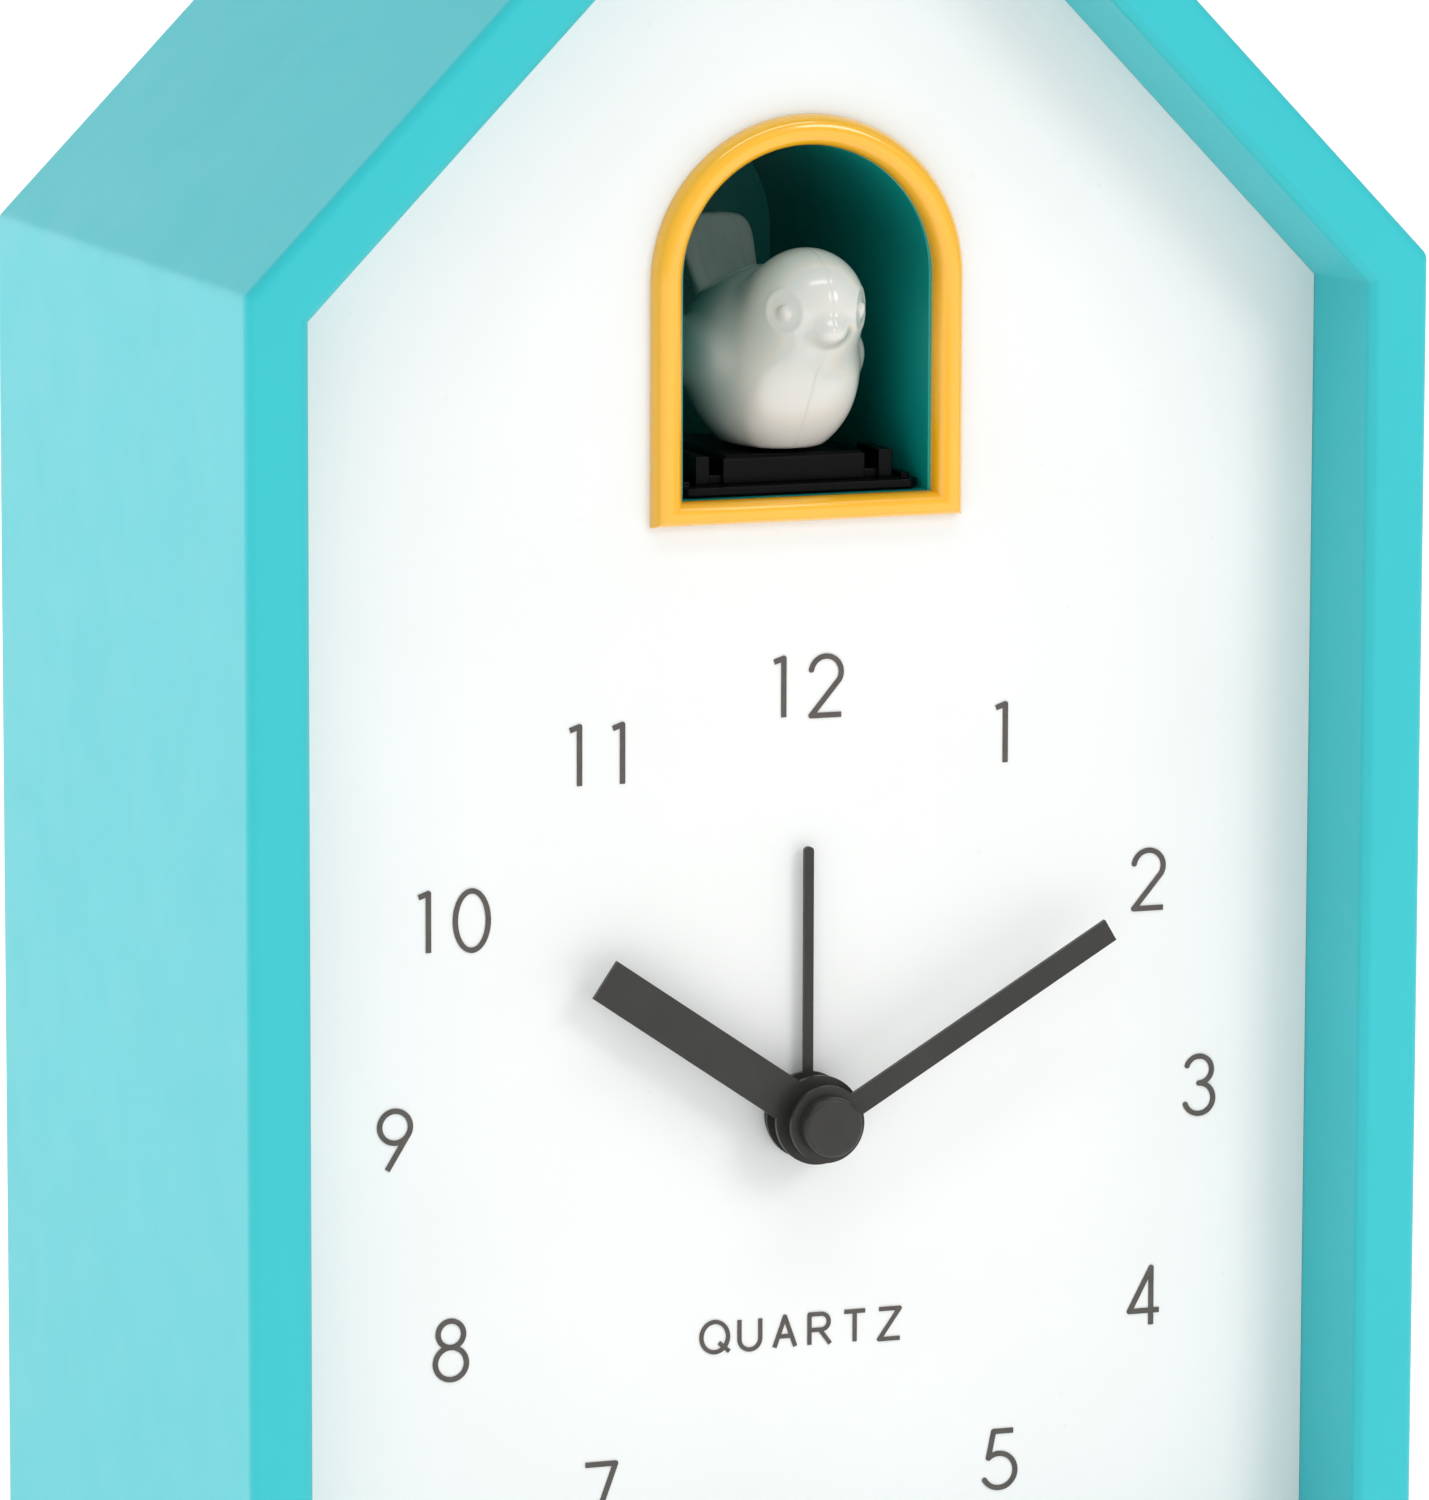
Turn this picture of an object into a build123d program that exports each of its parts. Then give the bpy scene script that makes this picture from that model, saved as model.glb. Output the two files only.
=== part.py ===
from build123d import *
import os
from math import atan2, cos, degrees, hypot, pi, radians, sin, sqrt, tan

# House-shaped quartz cuckoo alarm clock, millimetres.
# +Z up, dial faces -Y, origin in the middle of the footprint on the table.

os.makedirs("parts", exist_ok=True)

# Case
case_width = 140.0
case_depth = 95.0
case_height = 242.0
eave_height = 170.0
foot_height = 1.0
wall = 2.4
lip_width = 7.2
recess = 13.8
recess_draft = 0.84
recess_wall = 2.0
lip_round = 1.0
mouth_chamfer = 0.8
corner_round = 1.5
panel_gap = 0.3

# Dial
dial_thickness = 2.0
hub_height = 73.6
numeral_ring_radius = 48.7
numeral_height = 6.7
numeral_stroke = 0.6
numeral_pitch = 5.1
word_height = 3.5
word_stroke = 0.48
word_pitch = 4.25
word_drop = 25.2
ink_thickness = 0.15

# Arch
arch_half_width = 18.2
arch_bottom = 141.1
arch_top = 186.8
bezel_bar = 3.5
bezel_floor_bar = 2.8
bezel_proud = 2.2
tunnel_wall = 1.8
tunnel_depth = 50.0
arch_fit = 0.2

# Hands, along the hub axis in front of the dial
alarm_hand_front = 1.7
hour_hand_front = 5.0
minute_hand_front = 7.8
cap_front = 10.0
hand_thickness = 0.6
minute_hand_length = 39.8
hour_hand_length = 31.0
alarm_hand_length = 30.7
minute_hand_angle = 59.5
hour_hand_angle = 304.5
alarm_hand_angle = 0.0

# Nested hub tubes
arbor_radius = 1.5
hour_tube_radius = 2.3
alarm_tube_radius = 3.1
bush_radius = 4.4
running_fit = 0.05

# Movement
movement_side = 56.0
movement_depth = 16.2
movement_wall = 1.5

# Back
cover_thickness = 2.5
cover_inset = 1.2
knob_radius = 6.5
knob_recess = 5.0
cell_radius = 7.15
cell_length = 50.0
cell_count = 2
cell_pitch = 15.0
screw_radius = 1.3
small_screw_radius = 0.8
keyhole_height = 222.0
keyhole_entry_radius = 4.0
keyhole_slot = 4.0

# Bird drive
carriage_travel = 12.0
rack_module = 1.0
rack_clearance = 0.12
tooth_share = 0.85
drive_module = 0.5

front = -case_depth / 2
back = case_depth / 2
dial_face = front + recess
dial_back = dial_face + dial_thickness
half_width = case_width / 2
roof_slope = (case_height - eave_height) / half_width
roof_stretch = sqrt(1 + roof_slope ** 2)
floor_face = arch_bottom + bezel_floor_bar
arch_inner = arch_half_width - bezel_bar
arch_inner_top = arch_top - bezel_bar
cover_back = back - cover_inset
cover_front = cover_back - cover_thickness


def facing(y):
    """Upright plane across the clock, drawn as seen from the front."""
    return Plane(origin=(0, y, 0), x_dir=(1, 0, 0), z_dir=(0, -1, 0))


def sideways(x):
    """Upright plane along the clock; drawn with Y across and Z up."""
    return Plane(origin=(x, 0, 0), x_dir=(0, 1, 0), z_dir=(1, 0, 0))


def level(z):
    """Level plane at a height."""
    return Plane(origin=(0, 0, z))


def house(inset):
    """House outline, moved in evenly by the inset."""
    side = half_width - inset
    peak = case_height - inset * roof_stretch
    eave = peak - side * roof_slope
    bottom = foot_height + inset
    with BuildLine() as outline:
        Polyline((-side, bottom), (side, bottom), (side, eave), (0, peak), (-side, eave), close=True)
    make_face(outline.edges())


def arch(half, bottom, top):
    """Flat-bottomed arch with a half-round top."""
    spring = top - half
    with BuildLine() as outline:
        Line((-half, spring), (-half, bottom))
        Line((-half, bottom), (half, bottom))
        Line((half, bottom), (half, spring))
        ThreePointArc((half, spring), (0, top), (-half, spring))
    make_face(outline.edges())


def gear_face(module, teeth, bore, first_tooth, centre=(0, 0)):
    """Straight-flanked gear outline with a round bore; the tooth share leaves play."""
    pitch_radius = module * teeth / 2
    tip_radius = pitch_radius + module
    root_radius = pitch_radius - 1.25 * module
    tip_half = (tooth_share * pi / 4 - tan(radians(20))) * module / tip_radius
    root_half = (tooth_share * pi / 4 + 1.25 * tan(radians(20))) * module / root_radius
    root_half = min(root_half, 0.92 * pi / teeth)
    outline = []
    for tooth in range(teeth):
        middle = radians(first_tooth) + 2 * pi * tooth / teeth
        for radius, turn in (
            (root_radius, -root_half),
            (tip_radius, -tip_half),
            (tip_radius, tip_half),
            (root_radius, root_half),
        ):
            angle = middle + turn
            outline.append((centre[0] + radius * cos(angle), centre[1] + radius * sin(angle)))
    with BuildLine() as rim_line:
        Polyline(*outline, close=True)
    make_face(rim_line.edges())
    if bore > 0:
        with Locations(centre):
            Circle(bore, mode=Mode.SUBTRACT)


def meshing(first_tooth, teeth, direction, next_teeth):
    """First-tooth angle of the next gear so its gap meets a tooth of this one."""
    share = ((direction - first_tooth) * teeth / 360) % 1
    return direction + 180 + (share - 0.5) * 360 / next_teeth


def beside(centre, module, teeth, next_teeth, direction):
    """Centre of the next gear in mesh, in a given direction."""
    reach = module * (teeth + next_teeth) / 2
    angle = radians(direction)
    return (centre[0] + reach * cos(angle), centre[1] + reach * sin(angle))


# ---------------------------------------------------------------- fixing points

dial_screw_x = half_width - wall - recess_wall - 0.3
dial_screws = [
    (side * dial_screw_x, height) for side in (-1, 1) for height in (14.0, 66.0, 118.0, 160.0)
]
cover_screws = [(-60.0, 11.0), (60.0, 11.0), (-60.0, 152.0), (60.0, 152.0)]
clip_heights = (153.0, 165.0)
tunnel_screws = [(-20.0, 146.0), (20.0, 146.0), (-20.0, 172.0), (20.0, 172.0)]
clip_middle = 17.25
clip_thickness = 1.0
movement_screw_radius = 1.0
movement_screws = [(-24.5, 49.1), (24.5, 49.1), (-24.5, 98.1), (24.5, 98.1)]
feet_places = [(-58.0, -36.0), (58.0, -36.0), (-58.0, 36.0), (58.0, 36.0)]
knob_shaft_radius = 1.5

hub = (0.0, hub_height)
motion_module = 0.6
alarm_module = 0.5
train_module = 0.3
arbor_pinion_teeth = 10
minute_wheel_teeth = 30
minute_pinion_teeth = 8
hour_wheel_teeth = 32
alarm_wheel_teeth = 40
knob_pinion_teeth = 10
alarm_pinion_teeth = 10
train_pinion_teeth = 8
centre_wheel_teeth = 64
third_wheel_teeth = 60
fourth_wheel_teeth = 60
step_wheel_teeth = 40
rotor_pinion_teeth = 10

minute_direction = 210.0
knob_direction = 300.0
alarm_direction = -20.0
third_direction = 60.0
fourth_direction = 170.0
step_direction = 200.0
rotor_direction = 250.0

minute_centre = beside(hub, motion_module, arbor_pinion_teeth, minute_wheel_teeth, minute_direction)
time_knob_centre = beside(
    minute_centre, motion_module, minute_wheel_teeth, knob_pinion_teeth, knob_direction
)
alarm_knob_centre = beside(
    hub, alarm_module, alarm_wheel_teeth, alarm_pinion_teeth, alarm_direction
)
third_centre = beside(hub, train_module, centre_wheel_teeth, train_pinion_teeth, third_direction)
fourth_centre = beside(
    third_centre, train_module, third_wheel_teeth, train_pinion_teeth, fourth_direction
)
step_centre = beside(
    fourth_centre, train_module, fourth_wheel_teeth, train_pinion_teeth, step_direction
)
rotor_centre = beside(
    step_centre, train_module, step_wheel_teeth, rotor_pinion_teeth, rotor_direction
)

movement_back = dial_back + movement_depth
movement_inside = dial_back + movement_wall
movement_split = movement_back - 8.0

battery_width = cell_length + 6.0
battery_height = cell_count * cell_pitch + 2.0
battery_bottom = 7.0
battery_middle = battery_bottom + battery_height / 2
battery_front = cover_back - 2 * cell_radius - 4.4
speaker_height = 187.0
speaker_radius = 20.0
board_front = cover_front - 9.0
alarm_switch = (30.0, 118.0)
sound_switch = (-30.0, 118.0)
call_button = (0.0, 118.0)

# ---------------------------------------------------------------- house shell

with BuildPart() as house_shell:
    with BuildSketch(facing(front)):
        house(0)
    extrude(amount=-case_depth)
    along = house_shell.edges().filter_by(Axis.Y)
    fillet(along, corner_round)
    rim = house_shell.faces().sort_by(Axis.Y)[0].edges()
    fillet(rim, lip_round)
    # recess with a slight draft
    with BuildSketch(facing(front)):
        house(lip_width)
    with BuildSketch(facing(dial_face)):
        house(lip_width + recess_draft)
    loft(mode=Mode.SUBTRACT)
    mouth = house_shell.faces().sort_by(Axis.Y)[0].inner_wires()[0].edges()
    chamfer(mouth, mouth_chamfer)
    # cavity behind the dial
    with BuildSketch(facing(dial_face)):
        house(wall)
    extrude(amount=-(back - dial_face), mode=Mode.SUBTRACT)
    # hollow between the outer wall and the recess wall
    with BuildSketch(facing(front + wall)):
        house(wall)
        house_inner = lip_width + recess_draft - recess_wall
        with BuildSketch(mode=Mode.PRIVATE) as recess_ring:
            house(house_inner)
        add(recess_ring.sketch, mode=Mode.SUBTRACT)
    extrude(amount=-(recess - wall), mode=Mode.SUBTRACT)
    # screw bosses for the dial
    with BuildSketch(facing(front + wall)):
        with Locations(*dial_screws):
            Circle(2.3)
    extrude(amount=-(recess - wall))
    with BuildSketch(facing(front + 2 * wall)):
        with Locations(*dial_screws):
            Circle(small_screw_radius)
    extrude(amount=-(recess - 2 * wall), mode=Mode.SUBTRACT)
    # posts that carry the back cover
    with BuildSketch(facing(cover_front)):
        for side, height in cover_screws:
            reach = half_width - wall / 2 - abs(side)
            sense = 1 if side > 0 else -1
            with Locations((side, height)):
                Circle(4.0)
            with Locations((side + sense * reach / 2, height)):
                Rectangle(reach, 5.0)
    extrude(amount=14.0)
    with BuildSketch(facing(cover_front)):
        with Locations(*cover_screws):
            Circle(screw_radius)
    extrude(amount=12.0, mode=Mode.SUBTRACT)
    # pockets for the rubber feet
    with BuildSketch(level(foot_height)):
        with Locations(*feet_places):
            Circle(6.0)
    extrude(amount=1.0, mode=Mode.SUBTRACT)

house_shell.part.label = "house_shell"
export_step(house_shell.part, "parts/house_shell.step")

# ---------------------------------------------------------------- dial panel

with BuildPart() as dial_panel:
    with BuildSketch(facing(dial_face)):
        house(wall + panel_gap)
        with BuildSketch(mode=Mode.PRIVATE) as tunnel_hole:
            arch(
                arch_inner + tunnel_wall + arch_fit,
                floor_face - tunnel_wall - arch_fit,
                arch_inner_top + tunnel_wall + arch_fit,
            )
        add(tunnel_hole.sketch, mode=Mode.SUBTRACT)
        with Locations(hub):
            Circle(bush_radius + 0.3, mode=Mode.SUBTRACT)
        with Locations(*dial_screws):
            Circle(1.1, mode=Mode.SUBTRACT)
        for side in (-1, 1):
            for height in clip_heights:
                with Locations((side * clip_middle, height)):
                    Rectangle(clip_thickness + 2 * arch_fit, 5.0, mode=Mode.SUBTRACT)
    extrude(amount=-dial_thickness)
    # posts for the tunnel flange and the movement
    with BuildSketch(facing(dial_back)):
        with Locations(*tunnel_screws):
            Circle(3.0)
    extrude(amount=-6.0)
    with BuildSketch(facing(dial_back + 6.0)):
        with Locations(*tunnel_screws):
            Circle(small_screw_radius)
    extrude(amount=6.0, mode=Mode.SUBTRACT)
    # posts that enter the corners of the movement
    with BuildSketch(facing(dial_back)):
        with Locations(*movement_screws):
            Circle(2.5)
    extrude(amount=-6.0)
    with BuildSketch(facing(dial_back + 6.0)):
        with Locations(*movement_screws):
            Circle(movement_screw_radius)
    extrude(amount=6.0, mode=Mode.SUBTRACT)
    # stops that fit round the movement
    with BuildSketch(facing(dial_back)):
        with Locations((0, hub_height - movement_side / 2 - 1.2), (0, hub_height + movement_side / 2 + 1.2)):
            Rectangle(24.0, 1.8)
    extrude(amount=-5.0)

dial_panel.part.label = "dial_panel"
export_step(dial_panel.part, "parts/dial_panel.step")

# ---------------------------------------------------------------- numerals

def pen(stroke, *points):
    """Straight pen strokes with flat ends and round joints through the points."""
    for start, end in zip(points[:-1], points[1:]):
        reach = hypot(end[0] - start[0], end[1] - start[1])
        slant = degrees(atan2(end[1] - start[1], end[0] - start[0]))
        with Locations(((start[0] + end[0]) / 2, (start[1] + end[1]) / 2)):
            Rectangle(reach, stroke, rotation=slant)
    for joint in points[1:-1]:
        with Locations(joint):
            Circle(stroke / 2)


def ring(stroke, across, up, half_width, half_height):
    """Closed oval pen stroke."""
    with BuildSketch(mode=Mode.PRIVATE) as oval:
        with Locations((across, up)):
            Ellipse(half_width + stroke / 2, half_height + stroke / 2)
            Ellipse(half_width - stroke / 2, half_height - stroke / 2, mode=Mode.SUBTRACT)
    add(oval.sketch)


def bow(stroke, across, up, radius, start, sweep):
    """Pen stroke along an arc."""
    with BuildLine(Plane.XY, mode=Mode.PRIVATE) as path:
        CenterArc((across, up), radius, start, sweep)
    SlotArc(path.edges()[0], stroke)


def digit(stroke, character, across, up, height):
    """One thin upright digit centred on a point."""
    top = up + height / 2
    foot = up - height / 2
    half = 0.27 * height
    if character == "0":
        ring(stroke, across, up, 0.29 * height, 0.5 * height)
    elif character == "1":
        pen(stroke, (across - 0.17 * height, top - 0.06 * height), (across, top), (across, foot))
    elif character == "2":
        bow(stroke, across, top - half, half, 170, -200)
        bend = (across + half * cos(radians(30)), top - half - half * sin(radians(30)))
        pen(stroke, bend, (across - half, foot), (across + half, foot))
    elif character == "3":
        bow(stroke, across, top - 0.235 * height, 0.235 * height, 160, -250)
        bow(stroke, across, foot + 0.265 * height, 0.265 * height, 90, -250)
    elif character == "4":
        pen(
            stroke,
            (across + 0.12 * height, foot),
            (across + 0.12 * height, top),
            (across - 0.28 * height, foot + 0.25 * height),
            (across + 0.27 * height, foot + 0.25 * height),
        )
    elif character == "5":
        bow(stroke, across - 0.02 * height, foot + 0.31 * height, 0.3 * height, -150, 280)
        bend = (
            across - 0.02 * height + 0.3 * height * cos(radians(130)),
            foot + 0.31 * height + 0.3 * height * sin(radians(130)),
        )
        pen(stroke, bend, (across - 0.12 * height, top), (across + 0.24 * height, top))
    elif character == "6":
        ring(stroke, across, foot + half, half, half)
        pen(
            stroke,
            (across - half * cos(radians(25)), foot + half + half * sin(radians(25))),
            (across + 0.14 * height, top),
        )
    elif character == "7":
        pen(stroke, (across - half, top), (across + half, top), (across - 0.1 * height, foot))
    elif character == "8":
        ring(stroke, across, top - 0.225 * height, 0.225 * height, 0.225 * height)
        ring(stroke, across, foot + 0.275 * height, 0.275 * height, 0.275 * height)
    elif character == "9":
        ring(stroke, across, top - half, half, half)
        pen(
            stroke,
            (across + half * cos(radians(25)), top - half - half * sin(radians(25))),
            (across - 0.14 * height, foot),
        )


def letter(stroke, character, across, up, height):
    """One of the few capital letters of the word under the hub."""
    top = up + height / 2
    foot = up - height / 2
    half = 0.36 * height
    if character == "Q":
        ring(stroke, across, up, 0.46 * height, height / 2)
        pen(stroke, (across + 0.15 * height, up - 0.2 * height), (across + 0.5 * height, foot))
    elif character == "U":
        pen(stroke, (across - half, top), (across - half, foot + half))
        bow(stroke, across, foot + half, half, 180, 180)
        pen(stroke, (across + half, foot + half), (across + half, top))
    elif character == "A":
        pen(stroke, (across - half, foot), (across, top), (across + half, foot))
        bar = up - 0.15 * height
        pen(stroke, (across - 0.23 * height, bar), (across + 0.23 * height, bar))
    elif character == "R":
        pen(stroke, (across - half, foot), (across - half, top), (across + 0.05 * height, top))
        bow(stroke, across + 0.05 * height, top - 0.26 * height, 0.26 * height, 90, -180)
        pen(stroke, (across + 0.05 * height, up - 0.02 * height), (across - half, up - 0.02 * height))
        pen(stroke, (across, up - 0.02 * height), (across + half, foot))
    elif character == "T":
        pen(stroke, (across - half, top), (across + half, top))
        pen(stroke, (across, top), (across, foot))
    elif character == "Z":
        pen(
            stroke,
            (across - half, top),
            (across + half, top),
            (across - half, foot),
            (across + half, foot),
        )


with BuildPart() as numerals:
    with BuildSketch(facing(dial_face)):
        for hour in range(1, 13):
            turn = radians(90 - 30 * hour)
            middle = numeral_ring_radius * cos(turn)
            height = hub_height + numeral_ring_radius * sin(turn)
            text = str(hour)
            for place, character in enumerate(text):
                shift = (place - (len(text) - 1) / 2) * numeral_pitch
                digit(numeral_stroke, character, middle + shift, height, numeral_height)
        for place, character in enumerate("QUARTZ"):
            across = (place - 2.5) * word_pitch
            letter(word_stroke, character, across, hub_height - word_drop, word_height)
    extrude(amount=ink_thickness)

numerals.part.label = "numerals"
export_step(numerals.part, "parts/numerals.step")

# ---------------------------------------------------------------- arch bezel

with BuildPart() as arch_bezel:
    with BuildSketch(facing(dial_face)):
        arch(arch_half_width, arch_bottom, arch_top)
    extrude(amount=bezel_proud)
    with BuildSketch(facing(dial_face)):
        arch(arch_inner, floor_face, arch_inner_top)
    extrude(amount=bezel_proud, mode=Mode.SUBTRACT)
    bezel_front = arch_bezel.faces().sort_by(Axis.Y)[0].edges()
    fillet(bezel_front, 1.1)
    # spring clips through the dial
    for side in (-1, 1):
        for height in clip_heights:
            with BuildSketch(facing(dial_face)):
                with Locations((side * clip_middle, height)):
                    Rectangle(clip_thickness, 4.0)
            extrude(amount=-(dial_thickness + 1.4))
            with BuildSketch(facing(dial_back + 0.1)):
                with Locations((side * (clip_middle + 0.4), height)):
                    Rectangle(clip_thickness + 0.8, 4.0)
            extrude(amount=-1.3)

arch_bezel.part.label = "arch_bezel"
export_step(arch_bezel.part, "parts/arch_bezel.step")

# ---------------------------------------------------------------- niche tunnel

floor_under = floor_face - tunnel_wall
rib_height = 4.0
ear_front = dial_back + 6.0
slot_half = 2.6
slot_front = dial_face + 5.0
slot_back = dial_face + 43.0
rib_screws = [(side * 13.5, place) for side in (-1, 1) for place in (-12.0, 8.0)]

with BuildPart() as niche_tunnel:
    with BuildSketch(facing(dial_face)):
        arch(arch_inner + tunnel_wall, floor_under, arch_inner_top + tunnel_wall)
    extrude(amount=-(tunnel_depth + 2.0))
    with BuildSketch(facing(dial_face)):
        arch(arch_inner, floor_face, arch_inner_top)
    extrude(amount=-tunnel_depth, mode=Mode.SUBTRACT)
    # ears on the dial posts
    with BuildSketch(facing(ear_front)):
        for side, height in tunnel_screws:
            sense = 1 if side > 0 else -1
            with Locations((side, height)):
                Circle(3.6)
            with Locations((side - sense * 2.0, height)):
                Rectangle(4.0, 7.2)
        with Locations(*tunnel_screws):
            Circle(1.1, mode=Mode.SUBTRACT)
    extrude(amount=-2.0)
    # ribs under the floor for the drive bracket
    with BuildSketch(level(floor_under)):
        with Locations((-13.5, -2.0), (13.5, -2.0)):
            Rectangle(5.4, 30.0)
    extrude(amount=-rib_height)
    with BuildSketch(level(floor_under - rib_height)):
        with Locations(*rib_screws):
            Circle(small_screw_radius)
    extrude(amount=rib_height - 0.6, mode=Mode.SUBTRACT)
    # slot for the carriage stem
    with BuildSketch(level(floor_under)):
        with Locations((0, (slot_front + slot_back) / 2)):
            Rectangle(2 * slot_half, slot_back - slot_front)
    extrude(amount=tunnel_wall, mode=Mode.SUBTRACT)

niche_tunnel.part.label = "niche_tunnel"
export_step(niche_tunnel.part, "parts/niche_tunnel.step")

# ---------------------------------------------------------------- bird carriage

plate_gap = 0.3
plate_bottom = floor_face + plate_gap
plate_thickness = 0.9
plate_top = plate_bottom + plate_thickness
plate_front = dial_face + 1.1
plate_back = dial_face + 36.0
block_top = plate_top + 3.2
block_front = dial_face + 3.6
block_back = dial_face + 25.0
stem_front = dial_face + 18.0
stem_back = dial_face + 30.0
rack_top = floor_under - plate_gap
rack_pitch_height = 138.0
pinion_place = dial_face + 32.0
rack_half = carriage_travel + 3.5
bird_peg_radius = 2.0
bird_peg_place = dial_face + 12.0

with BuildPart() as carriage_plate:
    with BuildSketch(level(plate_bottom)):
        with Locations((0, (plate_front + plate_back) / 2)):
            RectangleRounded(2 * (arch_inner - 0.4), plate_back - plate_front, 1.5)
    extrude(amount=plate_thickness)
    # stem through the floor slot
    with BuildSketch(level(rack_top)):
        with Locations((0, (stem_front + stem_back) / 2)):
            Rectangle(2 * (slot_half - 0.4), stem_back - stem_front)
    extrude(amount=plate_bottom - rack_top)
    # raised lines along both long sides
    with BuildSketch(level(plate_top)):
        with Locations((-13.2, (plate_front + plate_back) / 2), (13.2, (plate_front + plate_back) / 2)):
            Rectangle(1.0, plate_back - plate_front - 4.0)
    extrude(amount=0.5)

carriage_plate.part.label = "carriage_plate"
export_step(carriage_plate.part, "parts/carriage_plate.step")

with BuildPart() as carriage_block:
    with BuildSketch(level(plate_top)):
        with Locations((0, (block_front + block_back) / 2)):
            Rectangle(17.0, block_back - block_front)
    extrude(amount=block_top - plate_top)
    upper = carriage_block.faces().sort_by(Axis.Z)[-1].edges()
    chamfer(upper, 0.4)
    with BuildSketch(level(plate_top)):
        for side in (-1, 1):
            with Locations((side * 9.4, block_front + 3.6)):
                Rectangle(3.0, 6.0)
    extrude(amount=1.0)
    with BuildSketch(level(plate_top)):
        for side in (-1, 1):
            with Locations((side * 11.0, block_front + 3.4)):
                Rectangle(1.6, 6.8)
    extrude(amount=block_top - plate_top)
    with BuildSketch(level(block_top)):
        with Locations((0, bird_peg_place)):
            Circle(bird_peg_radius)
    extrude(amount=4.0)

carriage_block.part.label = "carriage_block"
export_step(carriage_block.part, "parts/carriage_block.step")

with BuildPart() as carriage_rack:
    rack_root = rack_pitch_height + rack_clearance + 1.25 * rack_module
    rack_tip = rack_pitch_height + rack_clearance - rack_module
    pitch = pi * rack_module
    steepness = tan(radians(20))
    tip_half = tooth_share * pitch / 4 - steepness * rack_module
    root_half = tooth_share * pitch / 4 + 1.25 * steepness * rack_module
    teeth_each_way = int(rack_half / pitch)
    with BuildSketch(sideways(-4.0)):
        with Locations((pinion_place, (rack_top + rack_root) / 2)):
            Rectangle(2 * rack_half, rack_top - rack_root)
        for tooth in range(-teeth_each_way, teeth_each_way):
            middle = pinion_place + (tooth + 0.5) * pitch
            with BuildLine():
                Polyline(
                    (middle - root_half, rack_root),
                    (middle - tip_half, rack_tip),
                    (middle + tip_half, rack_tip),
                    (middle + root_half, rack_root),
                    close=True,
                )
            make_face()
    extrude(amount=8.0)

carriage_rack.part.label = "carriage_rack"
export_step(carriage_rack.part, "parts/carriage_rack.step")

# ---------------------------------------------------------------- bird

bird_base = block_top
body_axis = hub_height + 85.0
body_radius = 10.0
body_reach = 14.5
body_place = dial_face + 11.5
head_radius = 6.3
head_reach = 7.5
head_place = dial_face - 0.7
head_height = hub_height + 91.9
seam_half = 0.02
beak_height = hub_height + 89.5
tail_half = 4.6


def lump(place, height, reach, radius):
    """Egg-shaped lump about a fore-and-aft axis."""
    with BuildSketch(sideways(0)) as section:
        with Locations((place, height)):
            Ellipse(reach, radius)
        with Locations((place, height - radius)):
            Rectangle(2 * reach, 2 * radius, mode=Mode.SUBTRACT)
    revolve(section.sketch, axis=Axis((0, 0, height), (0, 1, 0)))


with BuildPart() as bird:
    lump(body_place, body_axis, body_reach, body_radius)
    lump(head_place, head_height, head_reach, head_radius)
    # beak
    with BuildSketch(sideways(0)):
        with BuildLine():
            Polyline(
                (dial_face - 6.0, beak_height),
                (dial_face - 6.0, beak_height + 2.0),
                (dial_face - 9.0, beak_height + 0.7),
                (dial_face - 9.4, beak_height),
                close=True,
            )
        make_face()
    revolve(axis=Axis((0, 0, beak_height), (0, 1, 0)))
    # raised tail
    with BuildSketch(sideways(-tail_half)):
        with BuildLine():
            Polyline(
                (dial_face + 17.0, hub_height + 89.0),
                (dial_face + 22.0, hub_height + 98.0),
                (dial_face + 32.0, hub_height + 99.5),
                (dial_face + 34.0, hub_height + 97.0),
                (dial_face + 26.0, hub_height + 84.0),
                close=True,
            )
        make_face()
    extrude(amount=2 * tail_half)
    # flat underside and the hole for the peg
    with BuildSketch(level(bird_base)):
        with Locations((0, dial_face + 14.0)):
            Rectangle(30.0, 60.0)
    extrude(amount=-12.0, mode=Mode.SUBTRACT)
    with BuildSketch(level(bird_base)):
        with Locations((0, bird_peg_place)):
            Circle(bird_peg_radius + 0.1)
    extrude(amount=4.4, mode=Mode.SUBTRACT)

with BuildPart() as bird_left:
    add(bird.part)
    with BuildSketch(sideways(-seam_half)):
        with Locations((body_place, body_axis)):
            Rectangle(80.0, 60.0)
    extrude(amount=30.0, mode=Mode.SUBTRACT)

bird_left.part.label = "bird_left"
export_step(bird_left.part, "parts/bird_left.step")

with BuildPart() as bird_right:
    add(bird.part)
    with BuildSketch(sideways(seam_half)):
        with Locations((body_place, body_axis)):
            Rectangle(80.0, 60.0)
    extrude(amount=-30.0, mode=Mode.SUBTRACT)

bird_right.part.label = "bird_right"
export_step(bird_right.part, "parts/bird_right.step")

# ---------------------------------------------------------------- bird drive

rack_pinion_teeth = 12
slow_wheel_teeth = 36
drive_pinion_teeth = 12
fast_wheel_teeth = 40
motor_pinion_teeth = 10
slow_direction = -45.0
motor_direction = 200.0
pin_radius = 1.0
bracket_side = 9.0
bracket_thickness = 1.5

slow_centre = (pinion_place, rack_pitch_height - rack_module * rack_pinion_teeth / 2)
fast_centre = beside(
    slow_centre, drive_module, slow_wheel_teeth, drive_pinion_teeth, slow_direction
)
motor_centre = beside(
    fast_centre, drive_module, fast_wheel_teeth, motor_pinion_teeth, motor_direction
)
drive_pinion_tooth = meshing(slow_direction, slow_wheel_teeth, slow_direction, drive_pinion_teeth)
motor_pinion_tooth = meshing(
    motor_direction, fast_wheel_teeth, motor_direction, motor_pinion_teeth
)

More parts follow.
